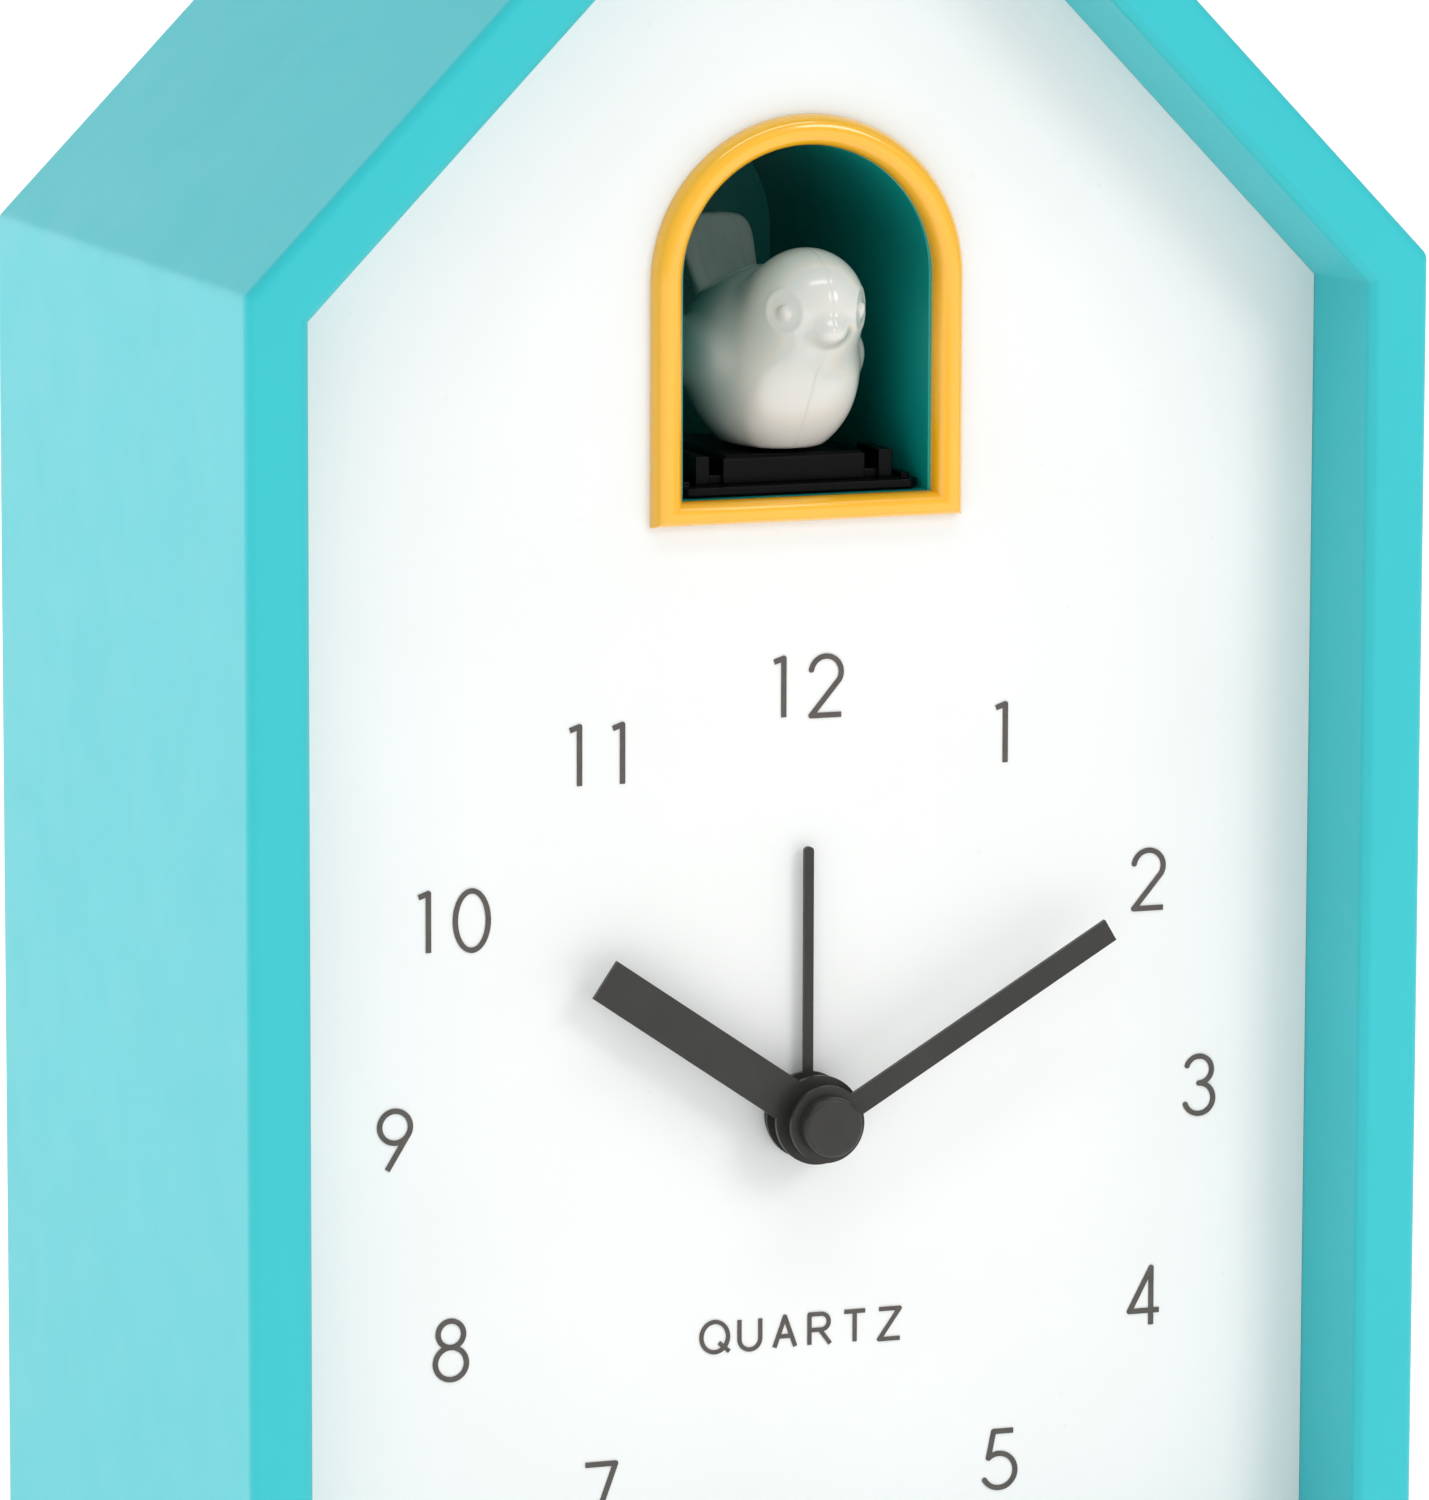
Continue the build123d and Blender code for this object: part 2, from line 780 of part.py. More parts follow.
with BuildPart() as slow_gear:
    with BuildSketch(sideways(-3.5)):
        gear_face(rack_module, rack_pinion_teeth, pin_radius + running_fit, 90.0, slow_centre)
    extrude(amount=7.0)
    with BuildSketch(sideways(3.5)):
        with Locations(slow_centre):
            Circle(3.0)
            Circle(pin_radius + running_fit, mode=Mode.SUBTRACT)
    extrude(amount=1.0)
    with BuildSketch(sideways(4.5)):
        gear_face(
            drive_module, slow_wheel_teeth, pin_radius + running_fit, slow_direction, slow_centre
        )
    extrude(amount=1.5)

slow_gear.part.label = "slow_gear"
export_step(slow_gear.part, "parts/slow_gear.step")

with BuildPart() as fast_gear:
    with BuildSketch(sideways(4.0)):
        gear_face(
            drive_module,
            drive_pinion_teeth,
            pin_radius + running_fit,
            drive_pinion_tooth,
            fast_centre,
        )
    extrude(amount=3.0)
    with BuildSketch(sideways(7.0)):
        gear_face(
            drive_module, fast_wheel_teeth, pin_radius + running_fit, motor_direction, fast_centre
        )
    extrude(amount=1.2)

fast_gear.part.label = "fast_gear"
export_step(fast_gear.part, "parts/fast_gear.step")

with BuildPart() as motor_pinion:
    with BuildSketch(sideways(6.7)):
        gear_face(drive_module, motor_pinion_teeth, pin_radius, motor_pinion_tooth, motor_centre)
    extrude(amount=1.8)

motor_pinion.part.label = "motor_pinion"
export_step(motor_pinion.part, "parts/motor_pinion.step")

motor_radius = 10.0
motor_length = 25.0
motor_start = bracket_side + bracket_thickness

with BuildPart() as motor_shaft:
    with BuildSketch(sideways(6.2)):
        with Locations(motor_centre):
            Circle(pin_radius)
    extrude(amount=motor_start + 6.0 - 6.2)

motor_shaft.part.label = "motor_shaft"
export_step(motor_shaft.part, "parts/motor_shaft.step")

with BuildPart() as motor_can:
    with BuildSketch(sideways(motor_start)):
        with Locations(motor_centre):
            Circle(motor_radius)
            Rectangle(2 * motor_radius, 15.4, mode=Mode.INTERSECT)
    extrude(amount=motor_length)
    fillet(motor_can.faces().sort_by(Axis.X)[0].edges(), 1.0)
    with BuildSketch(sideways(motor_start - 1.2)):
        with Locations(motor_centre):
            Circle(3.0)
    extrude(amount=1.2)
    with BuildSketch(sideways(motor_start + motor_length)):
        with Locations(motor_centre):
            Circle(4.0)
    extrude(amount=1.5)
    with BuildSketch(sideways(motor_start - 1.2)):
        with Locations(motor_centre):
            Circle(pin_radius + running_fit)
    extrude(amount=8.0, mode=Mode.SUBTRACT)
    # screw holes beside the shaft
    with BuildSketch(sideways(motor_start)):
        with Locations((motor_centre[0] - 6.0, motor_centre[1]), (motor_centre[0] + 6.0, motor_centre[1])):
            Circle(small_screw_radius)
    extrude(amount=3.0, mode=Mode.SUBTRACT)

motor_can.part.label = "motor_can"
export_step(motor_can.part, "parts/motor_can.step")

with BuildPart() as drive_pins:
    for centre in (slow_centre, fast_centre):
        with BuildSketch(sideways(-bracket_side - bracket_thickness)):
            with Locations(centre):
                Circle(pin_radius)
        extrude(amount=2 * (bracket_side + bracket_thickness))

drive_pins.part.label = "drive_pins"
export_step(drive_pins.part, "parts/drive_pins.step")

bracket_top = floor_under - rib_height
bracket_bottom = motor_centre[1] - 12.0

with BuildPart() as drive_bracket:
    for start in (-bracket_side - bracket_thickness, bracket_side):
        with BuildSketch(sideways(start)):
            with BuildLine():
                Polyline(
                    (-17.0, bracket_top),
                    (-17.0, bracket_bottom),
                    (8.0, bracket_bottom),
                    (14.0, bracket_bottom + 6.0),
                    (14.0, bracket_top),
                    close=True,
                )
            make_face()
            with Locations(slow_centre, fast_centre):
                Circle(pin_radius, mode=Mode.SUBTRACT)
            with Locations(motor_centre):
                Circle(3.2, mode=Mode.SUBTRACT)
            with Locations(
                (motor_centre[0] - 6.0, motor_centre[1]), (motor_centre[0] + 6.0, motor_centre[1])
            ):
                Circle(small_screw_radius + 0.2, mode=Mode.SUBTRACT)
        extrude(amount=bracket_thickness)
    # flanges under the tunnel ribs
    with BuildSketch(level(bracket_top)):
        for side in (-1, 1):
            with Locations((side * (bracket_side + 3.6), -1.5)):
                Rectangle(7.2, 31.0)
        with Locations(*rib_screws):
            Circle(small_screw_radius + 0.2, mode=Mode.SUBTRACT)
    extrude(amount=-bracket_thickness)
    # floor joining the two sides
    with BuildSketch(level(bracket_bottom)):
        with Locations((0, -4.5)):
            Rectangle(2 * bracket_side, 25.0)
    extrude(amount=bracket_thickness)

drive_bracket.part.label = "drive_bracket"
export_step(drive_bracket.part, "parts/drive_bracket.step")


def screw(plane, places, shank_radius, length, head_radius, head_height):
    """Pan-head cross screws; the shank runs along the plane's normal from the head's seat."""
    with BuildSketch(plane) as shank:
        with Locations(*places):
            Circle(shank_radius)
    extrude(to_extrude=shank.sketch, amount=length)
    with BuildSketch(plane) as head:
        with Locations(*places):
            Circle(head_radius)
    extrude(to_extrude=head.sketch, amount=-head_height)
    with BuildSketch(plane.offset(-head_height)) as cross:
        with Locations(*places):
            Rectangle(1.3 * head_radius, 0.3 * head_radius)
            Rectangle(0.3 * head_radius, 1.3 * head_radius)
    extrude(to_extrude=cross.sketch, amount=0.6 * head_height, mode=Mode.SUBTRACT)


with BuildPart() as limit_switch:
    with Locations((-bracket_side - bracket_thickness - 3.0, -10.0, 128.0)):
        Box(6.0, 12.8, 6.5)
    with Locations((-bracket_side - bracket_thickness - 3.0, -8.0, 131.7)):
        Box(1.4, 2.0, 0.9)
    # solder pins
    for place in (-14.0, -10.0, -6.0):
        with Locations((-bracket_side - bracket_thickness - 3.0, place, 123.2)):
            Box(0.6, 1.2, 3.1)

limit_switch.part.label = "limit_switch"
export_step(limit_switch.part, "parts/limit_switch.step")

# ---------------------------------------------------------------- screws in front

with BuildPart() as dial_screws_set:
    screw(facing(dial_back), dial_screws, small_screw_radius, 8.0, 1.7, 1.0)

dial_screws_set.part.label = "dial_screws"
export_step(dial_screws_set.part, "parts/dial_screws.step")

# ---------------------------------------------------------------- quartz movement

layer = movement_inside
inner_half = movement_side / 2 - movement_wall
mid_plate_front = layer + 4.95
mid_plate_thickness = 0.4
rear_wall_front = movement_back - movement_wall
pivot_radius = 0.5
pivot_hole = pivot_radius + running_fit
train_pivots = [third_centre, fourth_centre, step_centre, rotor_centre]
shaft_holes = [time_knob_centre, alarm_knob_centre]

with BuildPart() as movement_front:
    with BuildSketch(facing(dial_back)):
        with Locations(hub):
            RectangleRounded(movement_side, movement_side, 3.0)
    extrude(amount=-(movement_split - dial_back))
    with BuildSketch(facing(layer)):
        with Locations(hub):
            RectangleRounded(2 * inner_half, 2 * inner_half, 1.5)
    extrude(amount=-(movement_split - layer), mode=Mode.SUBTRACT)
    # corner sockets for the dial posts
    with BuildSketch(facing(dial_back)):
        with Locations(*movement_screws):
            Circle(3.9)
    extrude(amount=-(movement_split - dial_back))
    with BuildSketch(facing(dial_back)):
        with Locations(hub):
            RectangleRounded(movement_side, movement_side, 3.0)
    extrude(amount=-(movement_split - dial_back), mode=Mode.INTERSECT)
    with BuildSketch(facing(dial_back)):
        with Locations(*movement_screws):
            Circle(2.8)
    extrude(amount=-6.3, mode=Mode.SUBTRACT)
    with BuildSketch(facing(dial_back)):
        with Locations(*movement_screws):
            Circle(movement_screw_radius + 0.2)
    extrude(amount=-(movement_split - dial_back), mode=Mode.SUBTRACT)
    # bush through the dial
    with BuildSketch(facing(layer)):
        with Locations(hub):
            Circle(bush_radius)
    extrude(amount=layer - dial_face + 0.6)
    with BuildSketch(facing(layer)):
        with Locations(hub):
            Circle(alarm_tube_radius + running_fit)
    extrude(amount=layer - dial_face + 0.6, mode=Mode.SUBTRACT)
    # pivot holes in the front wall
    with BuildSketch(facing(layer)):
        with Locations(minute_centre):
            Circle(pivot_hole)
    extrude(amount=0.8, mode=Mode.SUBTRACT)
    with BuildSketch(facing(layer)):
        with Locations(*shaft_holes):
            Circle(0.8 + running_fit)
    extrude(amount=0.8, mode=Mode.SUBTRACT)

movement_front.part.label = "movement_front"
export_step(movement_front.part, "parts/movement_front.step")

with BuildPart() as movement_rear:
    with BuildSketch(facing(movement_split)):
        with Locations(hub):
            RectangleRounded(movement_side, movement_side, 3.0)
    extrude(amount=-(movement_back - movement_split))
    with BuildSketch(facing(movement_split)):
        with Locations(hub):
            RectangleRounded(2 * inner_half, 2 * inner_half, 1.5)
    extrude(amount=-(rear_wall_front - movement_split), mode=Mode.SUBTRACT)
    with BuildSketch(facing(movement_split)):
        with Locations(*movement_screws):
            Circle(3.2)
    extrude(amount=-(movement_back - movement_split))
    with BuildSketch(facing(movement_split)):
        with Locations(hub):
            RectangleRounded(movement_side, movement_side, 3.0)
    extrude(amount=-(movement_back - movement_split), mode=Mode.INTERSECT)
    with BuildSketch(facing(movement_split)):
        with Locations(*movement_screws):
            Circle(movement_screw_radius + 0.2)
    extrude(amount=-(movement_back - movement_split), mode=Mode.SUBTRACT)
    with BuildSketch(facing(movement_split)):
        with Locations(*shaft_holes):
            Circle(knob_shaft_radius + running_fit)
    extrude(amount=-(movement_back - movement_split), mode=Mode.SUBTRACT)
    with BuildSketch(facing(rear_wall_front)):
        with Locations(hub, *train_pivots):
            Circle(pivot_hole)
    extrude(amount=-0.8, mode=Mode.SUBTRACT)

movement_rear.part.label = "movement_rear"
export_step(movement_rear.part, "parts/movement_rear.step")

with BuildPart() as movement_plate:
    with BuildSketch(facing(mid_plate_front)):
        with Locations(hub):
            Rectangle(2 * inner_half - 0.6, 2 * inner_half - 0.6)
        with Locations(*movement_screws):
            Circle(4.3, mode=Mode.SUBTRACT)
        with Locations(hub, *shaft_holes):
            Circle(knob_shaft_radius + running_fit, mode=Mode.SUBTRACT)
        with Locations(minute_centre, *train_pivots):
            Circle(pivot_hole, mode=Mode.SUBTRACT)
    extrude(amount=-mid_plate_thickness)

movement_plate.part.label = "movement_plate"
export_step(movement_plate.part, "parts/movement_plate.step")

with BuildPart() as movement_screws_set:
    screw(
        facing(movement_back),
        movement_screws,
        movement_screw_radius,
        movement_back - dial_back - 0.8,
        1.9,
        1.2,
    )

movement_screws_set.part.label = "movement_screws"
export_step(movement_screws_set.part, "parts/movement_screws.step")


def spindle(centre, radius, start, end):
    """Round bar along the hub direction between two depths."""
    with BuildSketch(facing(start)) as section:
        with Locations(centre):
            Circle(radius)
    extrude(to_extrude=section.sketch, amount=start - end)


def wheel(centre, module, teeth, bore, first_tooth, start, thickness):
    """Toothed wheel square to the hub."""
    with BuildSketch(facing(start)) as section:
        gear_face(module, teeth, bore, first_tooth, centre)
    extrude(to_extrude=section.sketch, amount=-thickness)


# teeth that meet at rest
minute_wheel_tooth = meshing(minute_direction, arbor_pinion_teeth, minute_direction, minute_wheel_teeth)
minute_pinion_tooth = minute_direction + 180.0
hour_wheel_tooth = meshing(
    minute_pinion_tooth, minute_pinion_teeth, minute_direction + 180.0, hour_wheel_teeth
)
time_pinion_tooth = meshing(
    minute_wheel_tooth, minute_wheel_teeth, knob_direction, knob_pinion_teeth
)
alarm_pinion_tooth = meshing(
    alarm_direction, alarm_wheel_teeth, alarm_direction, alarm_pinion_teeth
)
third_pinion_tooth = meshing(
    third_direction, centre_wheel_teeth, third_direction, train_pinion_teeth
)
fourth_pinion_tooth = meshing(
    fourth_direction, third_wheel_teeth, fourth_direction, train_pinion_teeth
)
step_pinion_tooth = meshing(step_direction, fourth_wheel_teeth, step_direction, train_pinion_teeth)
rotor_pinion_tooth = meshing(
    rotor_direction, step_wheel_teeth, rotor_direction, rotor_pinion_teeth
)

with BuildPart() as alarm_wheel:
    wheel(
        hub,
        alarm_module,
        alarm_wheel_teeth,
        hour_tube_radius + running_fit,
        alarm_direction,
        layer + 0.4,
        1.0,
    )
    spindle(hub, alarm_tube_radius, dial_face - alarm_hand_front, layer + 0.4)
    with BuildSketch(facing(layer + 1.4)):
        with Locations(hub):
            Circle(hour_tube_radius + running_fit)
    extrude(amount=layer + 1.4 - dial_face + alarm_hand_front, mode=Mode.SUBTRACT)

alarm_wheel.part.label = "alarm_wheel"
export_step(alarm_wheel.part, "parts/alarm_wheel.step")

with BuildPart() as hour_wheel:
    wheel(
        hub,
        motion_module,
        hour_wheel_teeth,
        arbor_radius + running_fit,
        hour_wheel_tooth,
        layer + 2.0,
        1.0,
    )
    spindle(hub, hour_tube_radius, dial_face - hour_hand_front, layer + 2.0)
    with BuildSketch(facing(layer + 3.0)):
        with Locations(hub):
            Circle(arbor_radius + running_fit)
    extrude(amount=layer + 3.0 - dial_face + hour_hand_front, mode=Mode.SUBTRACT)

hour_wheel.part.label = "hour_wheel"
export_step(hour_wheel.part, "parts/hour_wheel.step")

with BuildPart() as minute_arbor:
    spindle(hub, arbor_radius, dial_face - minute_hand_front - 1.0, layer + 6.6)
    spindle(hub, pivot_radius, layer + 6.6, rear_wall_front + 0.6)
    wheel(hub, motion_module, arbor_pinion_teeth, 0, minute_direction, layer + 3.5, 1.3)

minute_arbor.part.label = "minute_arbor"
export_step(minute_arbor.part, "parts/minute_arbor.step")

with BuildPart() as minute_wheel:
    wheel(
        minute_centre,
        motion_module,
        minute_wheel_teeth,
        0,
        minute_wheel_tooth,
        layer + 3.6,
        1.0,
    )
    wheel(
        minute_centre,
        motion_module,
        minute_pinion_teeth,
        0,
        minute_pinion_tooth,
        layer + 1.8,
        1.8,
    )
    spindle(minute_centre, pivot_radius, layer - 0.7, layer + 5.25)

minute_wheel.part.label = "minute_wheel"
export_step(minute_wheel.part, "parts/minute_wheel.step")

with BuildPart() as centre_wheel:
    wheel(
        hub,
        train_module,
        centre_wheel_teeth,
        arbor_radius + running_fit,
        third_direction,
        layer + 5.6,
        0.8,
    )

centre_wheel.part.label = "centre_wheel"
export_step(centre_wheel.part, "parts/centre_wheel.step")

with BuildPart() as third_wheel:
    wheel(
        third_centre, train_module, train_pinion_teeth, 0, third_pinion_tooth, layer + 5.5, 1.7
    )
    wheel(third_centre, train_module, third_wheel_teeth, 0, fourth_direction, layer + 7.2, 0.8)
    spindle(third_centre, pivot_radius, mid_plate_front, rear_wall_front + 0.6)

third_wheel.part.label = "third_wheel"
export_step(third_wheel.part, "parts/third_wheel.step")

with BuildPart() as fourth_wheel:
    wheel(
        fourth_centre, train_module, train_pinion_teeth, 0, fourth_pinion_tooth, layer + 7.0, 1.8
    )
    wheel(fourth_centre, train_module, fourth_wheel_teeth, 0, step_direction, layer + 8.8, 0.8)
    spindle(fourth_centre, pivot_radius, mid_plate_front, rear_wall_front + 0.6)

fourth_wheel.part.label = "fourth_wheel"
export_step(fourth_wheel.part, "parts/fourth_wheel.step")

with BuildPart() as step_wheel:
    wheel(step_centre, train_module, train_pinion_teeth, 0, step_pinion_tooth, layer + 8.6, 1.8)
    wheel(step_centre, train_module, step_wheel_teeth, 0, rotor_direction, layer + 10.4, 0.8)
    spindle(step_centre, pivot_radius, mid_plate_front, rear_wall_front + 0.6)

step_wheel.part.label = "step_wheel"
export_step(step_wheel.part, "parts/step_wheel.step")

rotor_magnet_radius = 2.4

with BuildPart() as rotor:
    wheel(
        rotor_centre, train_module, rotor_pinion_teeth, 0, rotor_pinion_tooth, layer + 10.2, 1.2
    )
    spindle(rotor_centre, 0.9, layer + 9.8, layer + 10.2)
    spindle(rotor_centre, pivot_radius, mid_plate_front, rear_wall_front + 0.6)

rotor.part.label = "rotor_pinion"
export_step(rotor.part, "parts/rotor_pinion.step")

with BuildPart() as rotor_magnet:
    with BuildSketch(facing(layer + 7.2)):
        with Locations(rotor_centre):
            Circle(rotor_magnet_radius)
            Circle(pivot_radius, mode=Mode.SUBTRACT)
    extrude(amount=-2.6)

rotor_magnet.part.label = "rotor_magnet"
export_step(rotor_magnet.part, "parts/rotor_magnet.step")

coil_height = hub_height - 23.0
coil_radius = 3.0
core_depth = layer + 8.6

with BuildPart() as stator:
    with BuildSketch(facing(layer + 8.2)):
        with BuildLine():
            Polyline(
                (-20.8, coil_height - 1.2),
                (6.5, coil_height - 1.2),
                (6.5, coil_height + 1.2),
                (-15.0, coil_height + 1.2),
                (-15.0, coil_height + 4.0),
                (-12.6, coil_height + 9.0),
                (-12.6, hub_height + 4.2),
                (-20.8, hub_height + 4.2),
                close=True,
            )
        make_face()
        with Locations(rotor_centre):
            Circle(rotor_magnet_radius + 0.4, mode=Mode.SUBTRACT)
    extrude(amount=-0.8)

stator.part.label = "stator"
export_step(stator.part, "parts/stator.step")

with BuildPart() as coil:
    with BuildSketch(sideways(-14.0)):
        with Locations((core_depth, coil_height)):
            Circle(coil_radius)
            Rectangle(0.9, 2.5, mode=Mode.SUBTRACT)
    extrude(amount=17.0)
    with BuildSketch(sideways(-14.6)):
        with Locations((core_depth, coil_height)):
            RectangleRounded(6.4, 6.4, 0.6)
            Rectangle(0.9, 2.5, mode=Mode.SUBTRACT)
    extrude(amount=0.6)
    with BuildSketch(sideways(3.0)):
        with Locations((core_depth, coil_height)):
            RectangleRounded(6.4, 6.4, 0.6)
            Rectangle(0.9, 2.5, mode=Mode.SUBTRACT)
    extrude(amount=0.6)

coil.part.label = "coil"
export_step(coil.part, "parts/coil.step")

with BuildPart() as movement_board:
    with Locations((16.5, layer + 7.0, hub_height - 13.5)):
        Box(16.0, 0.8, 12.0)
    with Locations((16.5, layer + 8.0, hub_height - 12.0)):
        Cylinder(2.2, 1.2, rotation=(90, 0, 0))
    with Locations((18.0, layer + 8.2, hub_height - 17.4)):
        Cylinder(0.85, 6.0, rotation=(0, 90, 0))

movement_board.part.label = "movement_board"
export_step(movement_board.part, "parts/movement_board.step")

# ---------------------------------------------------------------- hands


def hand(angle, width, reach, tail, disc_radius, bore, front_depth):
    """Straight flat hand with a round disc; the angle is clockwise from twelve."""
    with BuildSketch(facing(front_depth + hand_thickness)) as blade:
        with Locations(Location((0, hub_height, 0), (0, 0, -angle))):
            with Locations((0, (reach - tail) / 2)):
                Rectangle(width, reach + tail)
        with Locations(hub):
            Circle(disc_radius)
            Circle(bore, mode=Mode.SUBTRACT)
    extrude(to_extrude=blade.sketch, amount=hand_thickness)


with BuildPart() as alarm_hand:
    hand(
        alarm_hand_angle,
        1.1,
        alarm_hand_length,
        0.0,
        5.0,
        alarm_tube_radius,
        dial_face - alarm_hand_front,
    )
    tip_edges = alarm_hand.edges().filter_by(Axis.Y).sort_by(Axis.Z)[-2:]
    fillet(tip_edges, 0.5)

alarm_hand.part.label = "alarm_hand"
export_step(alarm_hand.part, "parts/alarm_hand.step")

with BuildPart() as hour_hand:
    hand(
        hour_hand_angle,
        5.0,
        hour_hand_length,
        0.0,
        5.1,
        hour_tube_radius,
        dial_face - hour_hand_front,
    )
    with BuildSketch(facing(dial_face - hour_hand_front + hand_thickness)):
        with Locations(hub):
            Circle(3.4)
            Circle(hour_tube_radius, mode=Mode.SUBTRACT)
    extrude(amount=-1.4)

hour_hand.part.label = "hour_hand"
export_step(hour_hand.part, "parts/hour_hand.step")

with BuildPart() as minute_hand:
    hand(
        minute_hand_angle,
        2.7,
        minute_hand_length,
        0.0,
        4.4,
        arbor_radius,
        dial_face - minute_hand_front,
    )
    with BuildSketch(facing(dial_face - minute_hand_front + hand_thickness)):
        with Locations(hub):
            Circle(2.6)
            Circle(arbor_radius, mode=Mode.SUBTRACT)
    extrude(amount=-1.6)

minute_hand.part.label = "minute_hand"
export_step(minute_hand.part, "parts/minute_hand.step")

with BuildPart() as hand_cap:
    with BuildSketch(facing(dial_face - minute_hand_front)):
        with Locations(hub):
            Circle(3.4)
    extrude(amount=cap_front - minute_hand_front)
    fillet(hand_cap.faces().sort_by(Axis.Y)[0].edges(), 0.5)
    with BuildSketch(facing(dial_face - minute_hand_front)):
        with Locations(hub):
            Circle(arbor_radius)
    extrude(amount=1.0, mode=Mode.SUBTRACT)

hand_cap.part.label = "hand_cap"
export_step(hand_cap.part, "parts/hand_cap.step")

# ---------------------------------------------------------------- back cover

knob_cup_inner = knob_radius + 1.5
knob_cup_outer = knob_cup_inner + 1.5
cup_floor = cover_back - knob_recess
box_wall = 1.5
door_gap = 0.3
door_thickness = 1.6
door_half = battery_width / 2
door_bottom = battery_bottom
door_top = battery_bottom + battery_height
door_axis_y = cover_back - door_thickness / 2
door_axis_z = door_bottom + door_thickness / 2
hinge_radius = 0.5
grille = (0.0, speaker_height)
board_posts = [(-36.0, 109.5), (36.0, 109.5), (-36.0, 126.5), (36.0, 126.5)]
speaker_posts = [(-16.5, 170.5), (16.5, 170.5), (-16.5, 203.5), (16.5, 203.5)]
post_length = cover_front - board_front - 1.6

with BuildPart() as back_cover:
    with BuildSketch(facing(cover_front)):
        house(wall + panel_gap)
    extrude(amount=-cover_thickness)
    # battery box
    with BuildSketch(facing(battery_front)):
        with Locations((0, battery_middle)):
            RectangleRounded(battery_width + 2 * box_wall, battery_height + 2 * box_wall, 1.5)
    extrude(amount=-(cover_front - battery_front))
    with BuildSketch(facing(battery_front + box_wall)):
        with Locations((0, battery_middle)):
            Rectangle(battery_width - 1.0, battery_height - 1.0)
    extrude(amount=-(cover_back - battery_front), mode=Mode.SUBTRACT)
    with BuildSketch(facing(cover_back)):
        with Locations((0, battery_middle)):
            Rectangle(battery_width + 2 * door_gap, battery_height + 2 * door_gap)
    extrude(amount=door_thickness + door_gap, mode=Mode.SUBTRACT)
    with BuildSketch(sideways(-door_half - 1.6)):
        with Locations((door_axis_y, door_axis_z)):
            Circle(hinge_radius + running_fit)
    extrude(amount=2 * (door_half + 1.6), mode=Mode.SUBTRACT)
    # finger notch above the door
    with BuildSketch(facing(cover_back)):
        with Locations((0, door_top + door_gap + 1.0)):
            SlotOverall(16.0, 5.0)
    extrude(amount=1.2, mode=Mode.SUBTRACT)
    # cups for the two knobs
    with BuildSketch(facing(cup_floor - box_wall)):
        with Locations(time_knob_centre, alarm_knob_centre):
            Circle(knob_cup_outer)
    extrude(amount=-(cover_front - cup_floor + box_wall))
    with BuildSketch(facing(cup_floor)):
        with Locations(time_knob_centre, alarm_knob_centre):
            Circle(knob_cup_inner)
    extrude(amount=-(cover_back - cup_floor), mode=Mode.SUBTRACT)
    with BuildSketch(facing(cup_floor - box_wall)):
        with Locations(time_knob_centre, alarm_knob_centre):
            Circle(knob_shaft_radius + running_fit)
    extrude(amount=-box_wall, mode=Mode.SUBTRACT)
    # speaker holes in rings
    with BuildSketch(facing(cover_back)):
        with Locations(grille):
            Circle(1.1)
            for ring in range(1, 4):
                with PolarLocations(4.6 * ring, 6 * ring):
                    Circle(1.1)
    extrude(amount=cover_thickness, mode=Mode.SUBTRACT)
    # openings for the two switches and the call button
    with BuildSketch(facing(cover_back)):
        with Locations(alarm_switch, sound_switch):
            RectangleRounded(9.4, 4.0, 0.8)
        with Locations(call_button):
            Circle(3.6)
    extrude(amount=cover_thickness, mode=Mode.SUBTRACT)
    # sunk marks over the switches: a stroke and a dot
    with BuildSketch(facing(cover_back)):
        for switch, inward in ((alarm_switch, -5.5), (sound_switch, 5.5)):
            with Locations((switch[0], switch[1] + 6.0)):
                SlotOverall(6.0, 0.9)
            with Locations((switch[0] + inward, switch[1] + 6.0)):
                Circle(0.8)
    extrude(amount=0.4, mode=Mode.SUBTRACT)
    # keyhole for hanging on a screw head
    with BuildSketch(facing(cover_back)):
        with Locations((0, keyhole_height)):
            Circle(keyhole_entry_radius)
        with Locations((0, keyhole_height + 4.0)):
            Rectangle(keyhole_slot, 6.0)
        with Locations((0, keyhole_height + 7.0)):
            Circle(keyhole_slot / 2)
    extrude(amount=cover_thickness, mode=Mode.SUBTRACT)
    # counterbored screw holes
    with BuildSketch(facing(cover_back)):
        with Locations(*cover_screws):
            Circle(screw_radius + 0.3)
    extrude(amount=cover_thickness, mode=Mode.SUBTRACT)
    with BuildSketch(facing(cover_back)):
        with Locations(*cover_screws):
            Circle(3.2)
    extrude(amount=1.2, mode=Mode.SUBTRACT)
    # posts for the sound board and the speaker
    with BuildSketch(facing(cover_front)):
        with Locations(*board_posts):
            Circle(2.6)
    extrude(amount=post_length)
    with BuildSketch(facing(cover_front)):
        with Locations(*speaker_posts):
            Circle(2.4)
    extrude(amount=4.0)
    with BuildSketch(facing(cover_front)):
        with Locations(*board_posts, *speaker_posts):
            Circle(small_screw_radius)
    extrude(amount=post_length, mode=Mode.SUBTRACT)

back_cover.part.label = "back_cover"
export_step(back_cover.part, "parts/back_cover.step")

with BuildPart() as cover_screws_set:
    screw(facing(cover_back - 1.2), cover_screws, screw_radius, 8.0, 2.6, 1.1)

cover_screws_set.part.label = "cover_screws"
export_step(cover_screws_set.part, "parts/cover_screws.step")

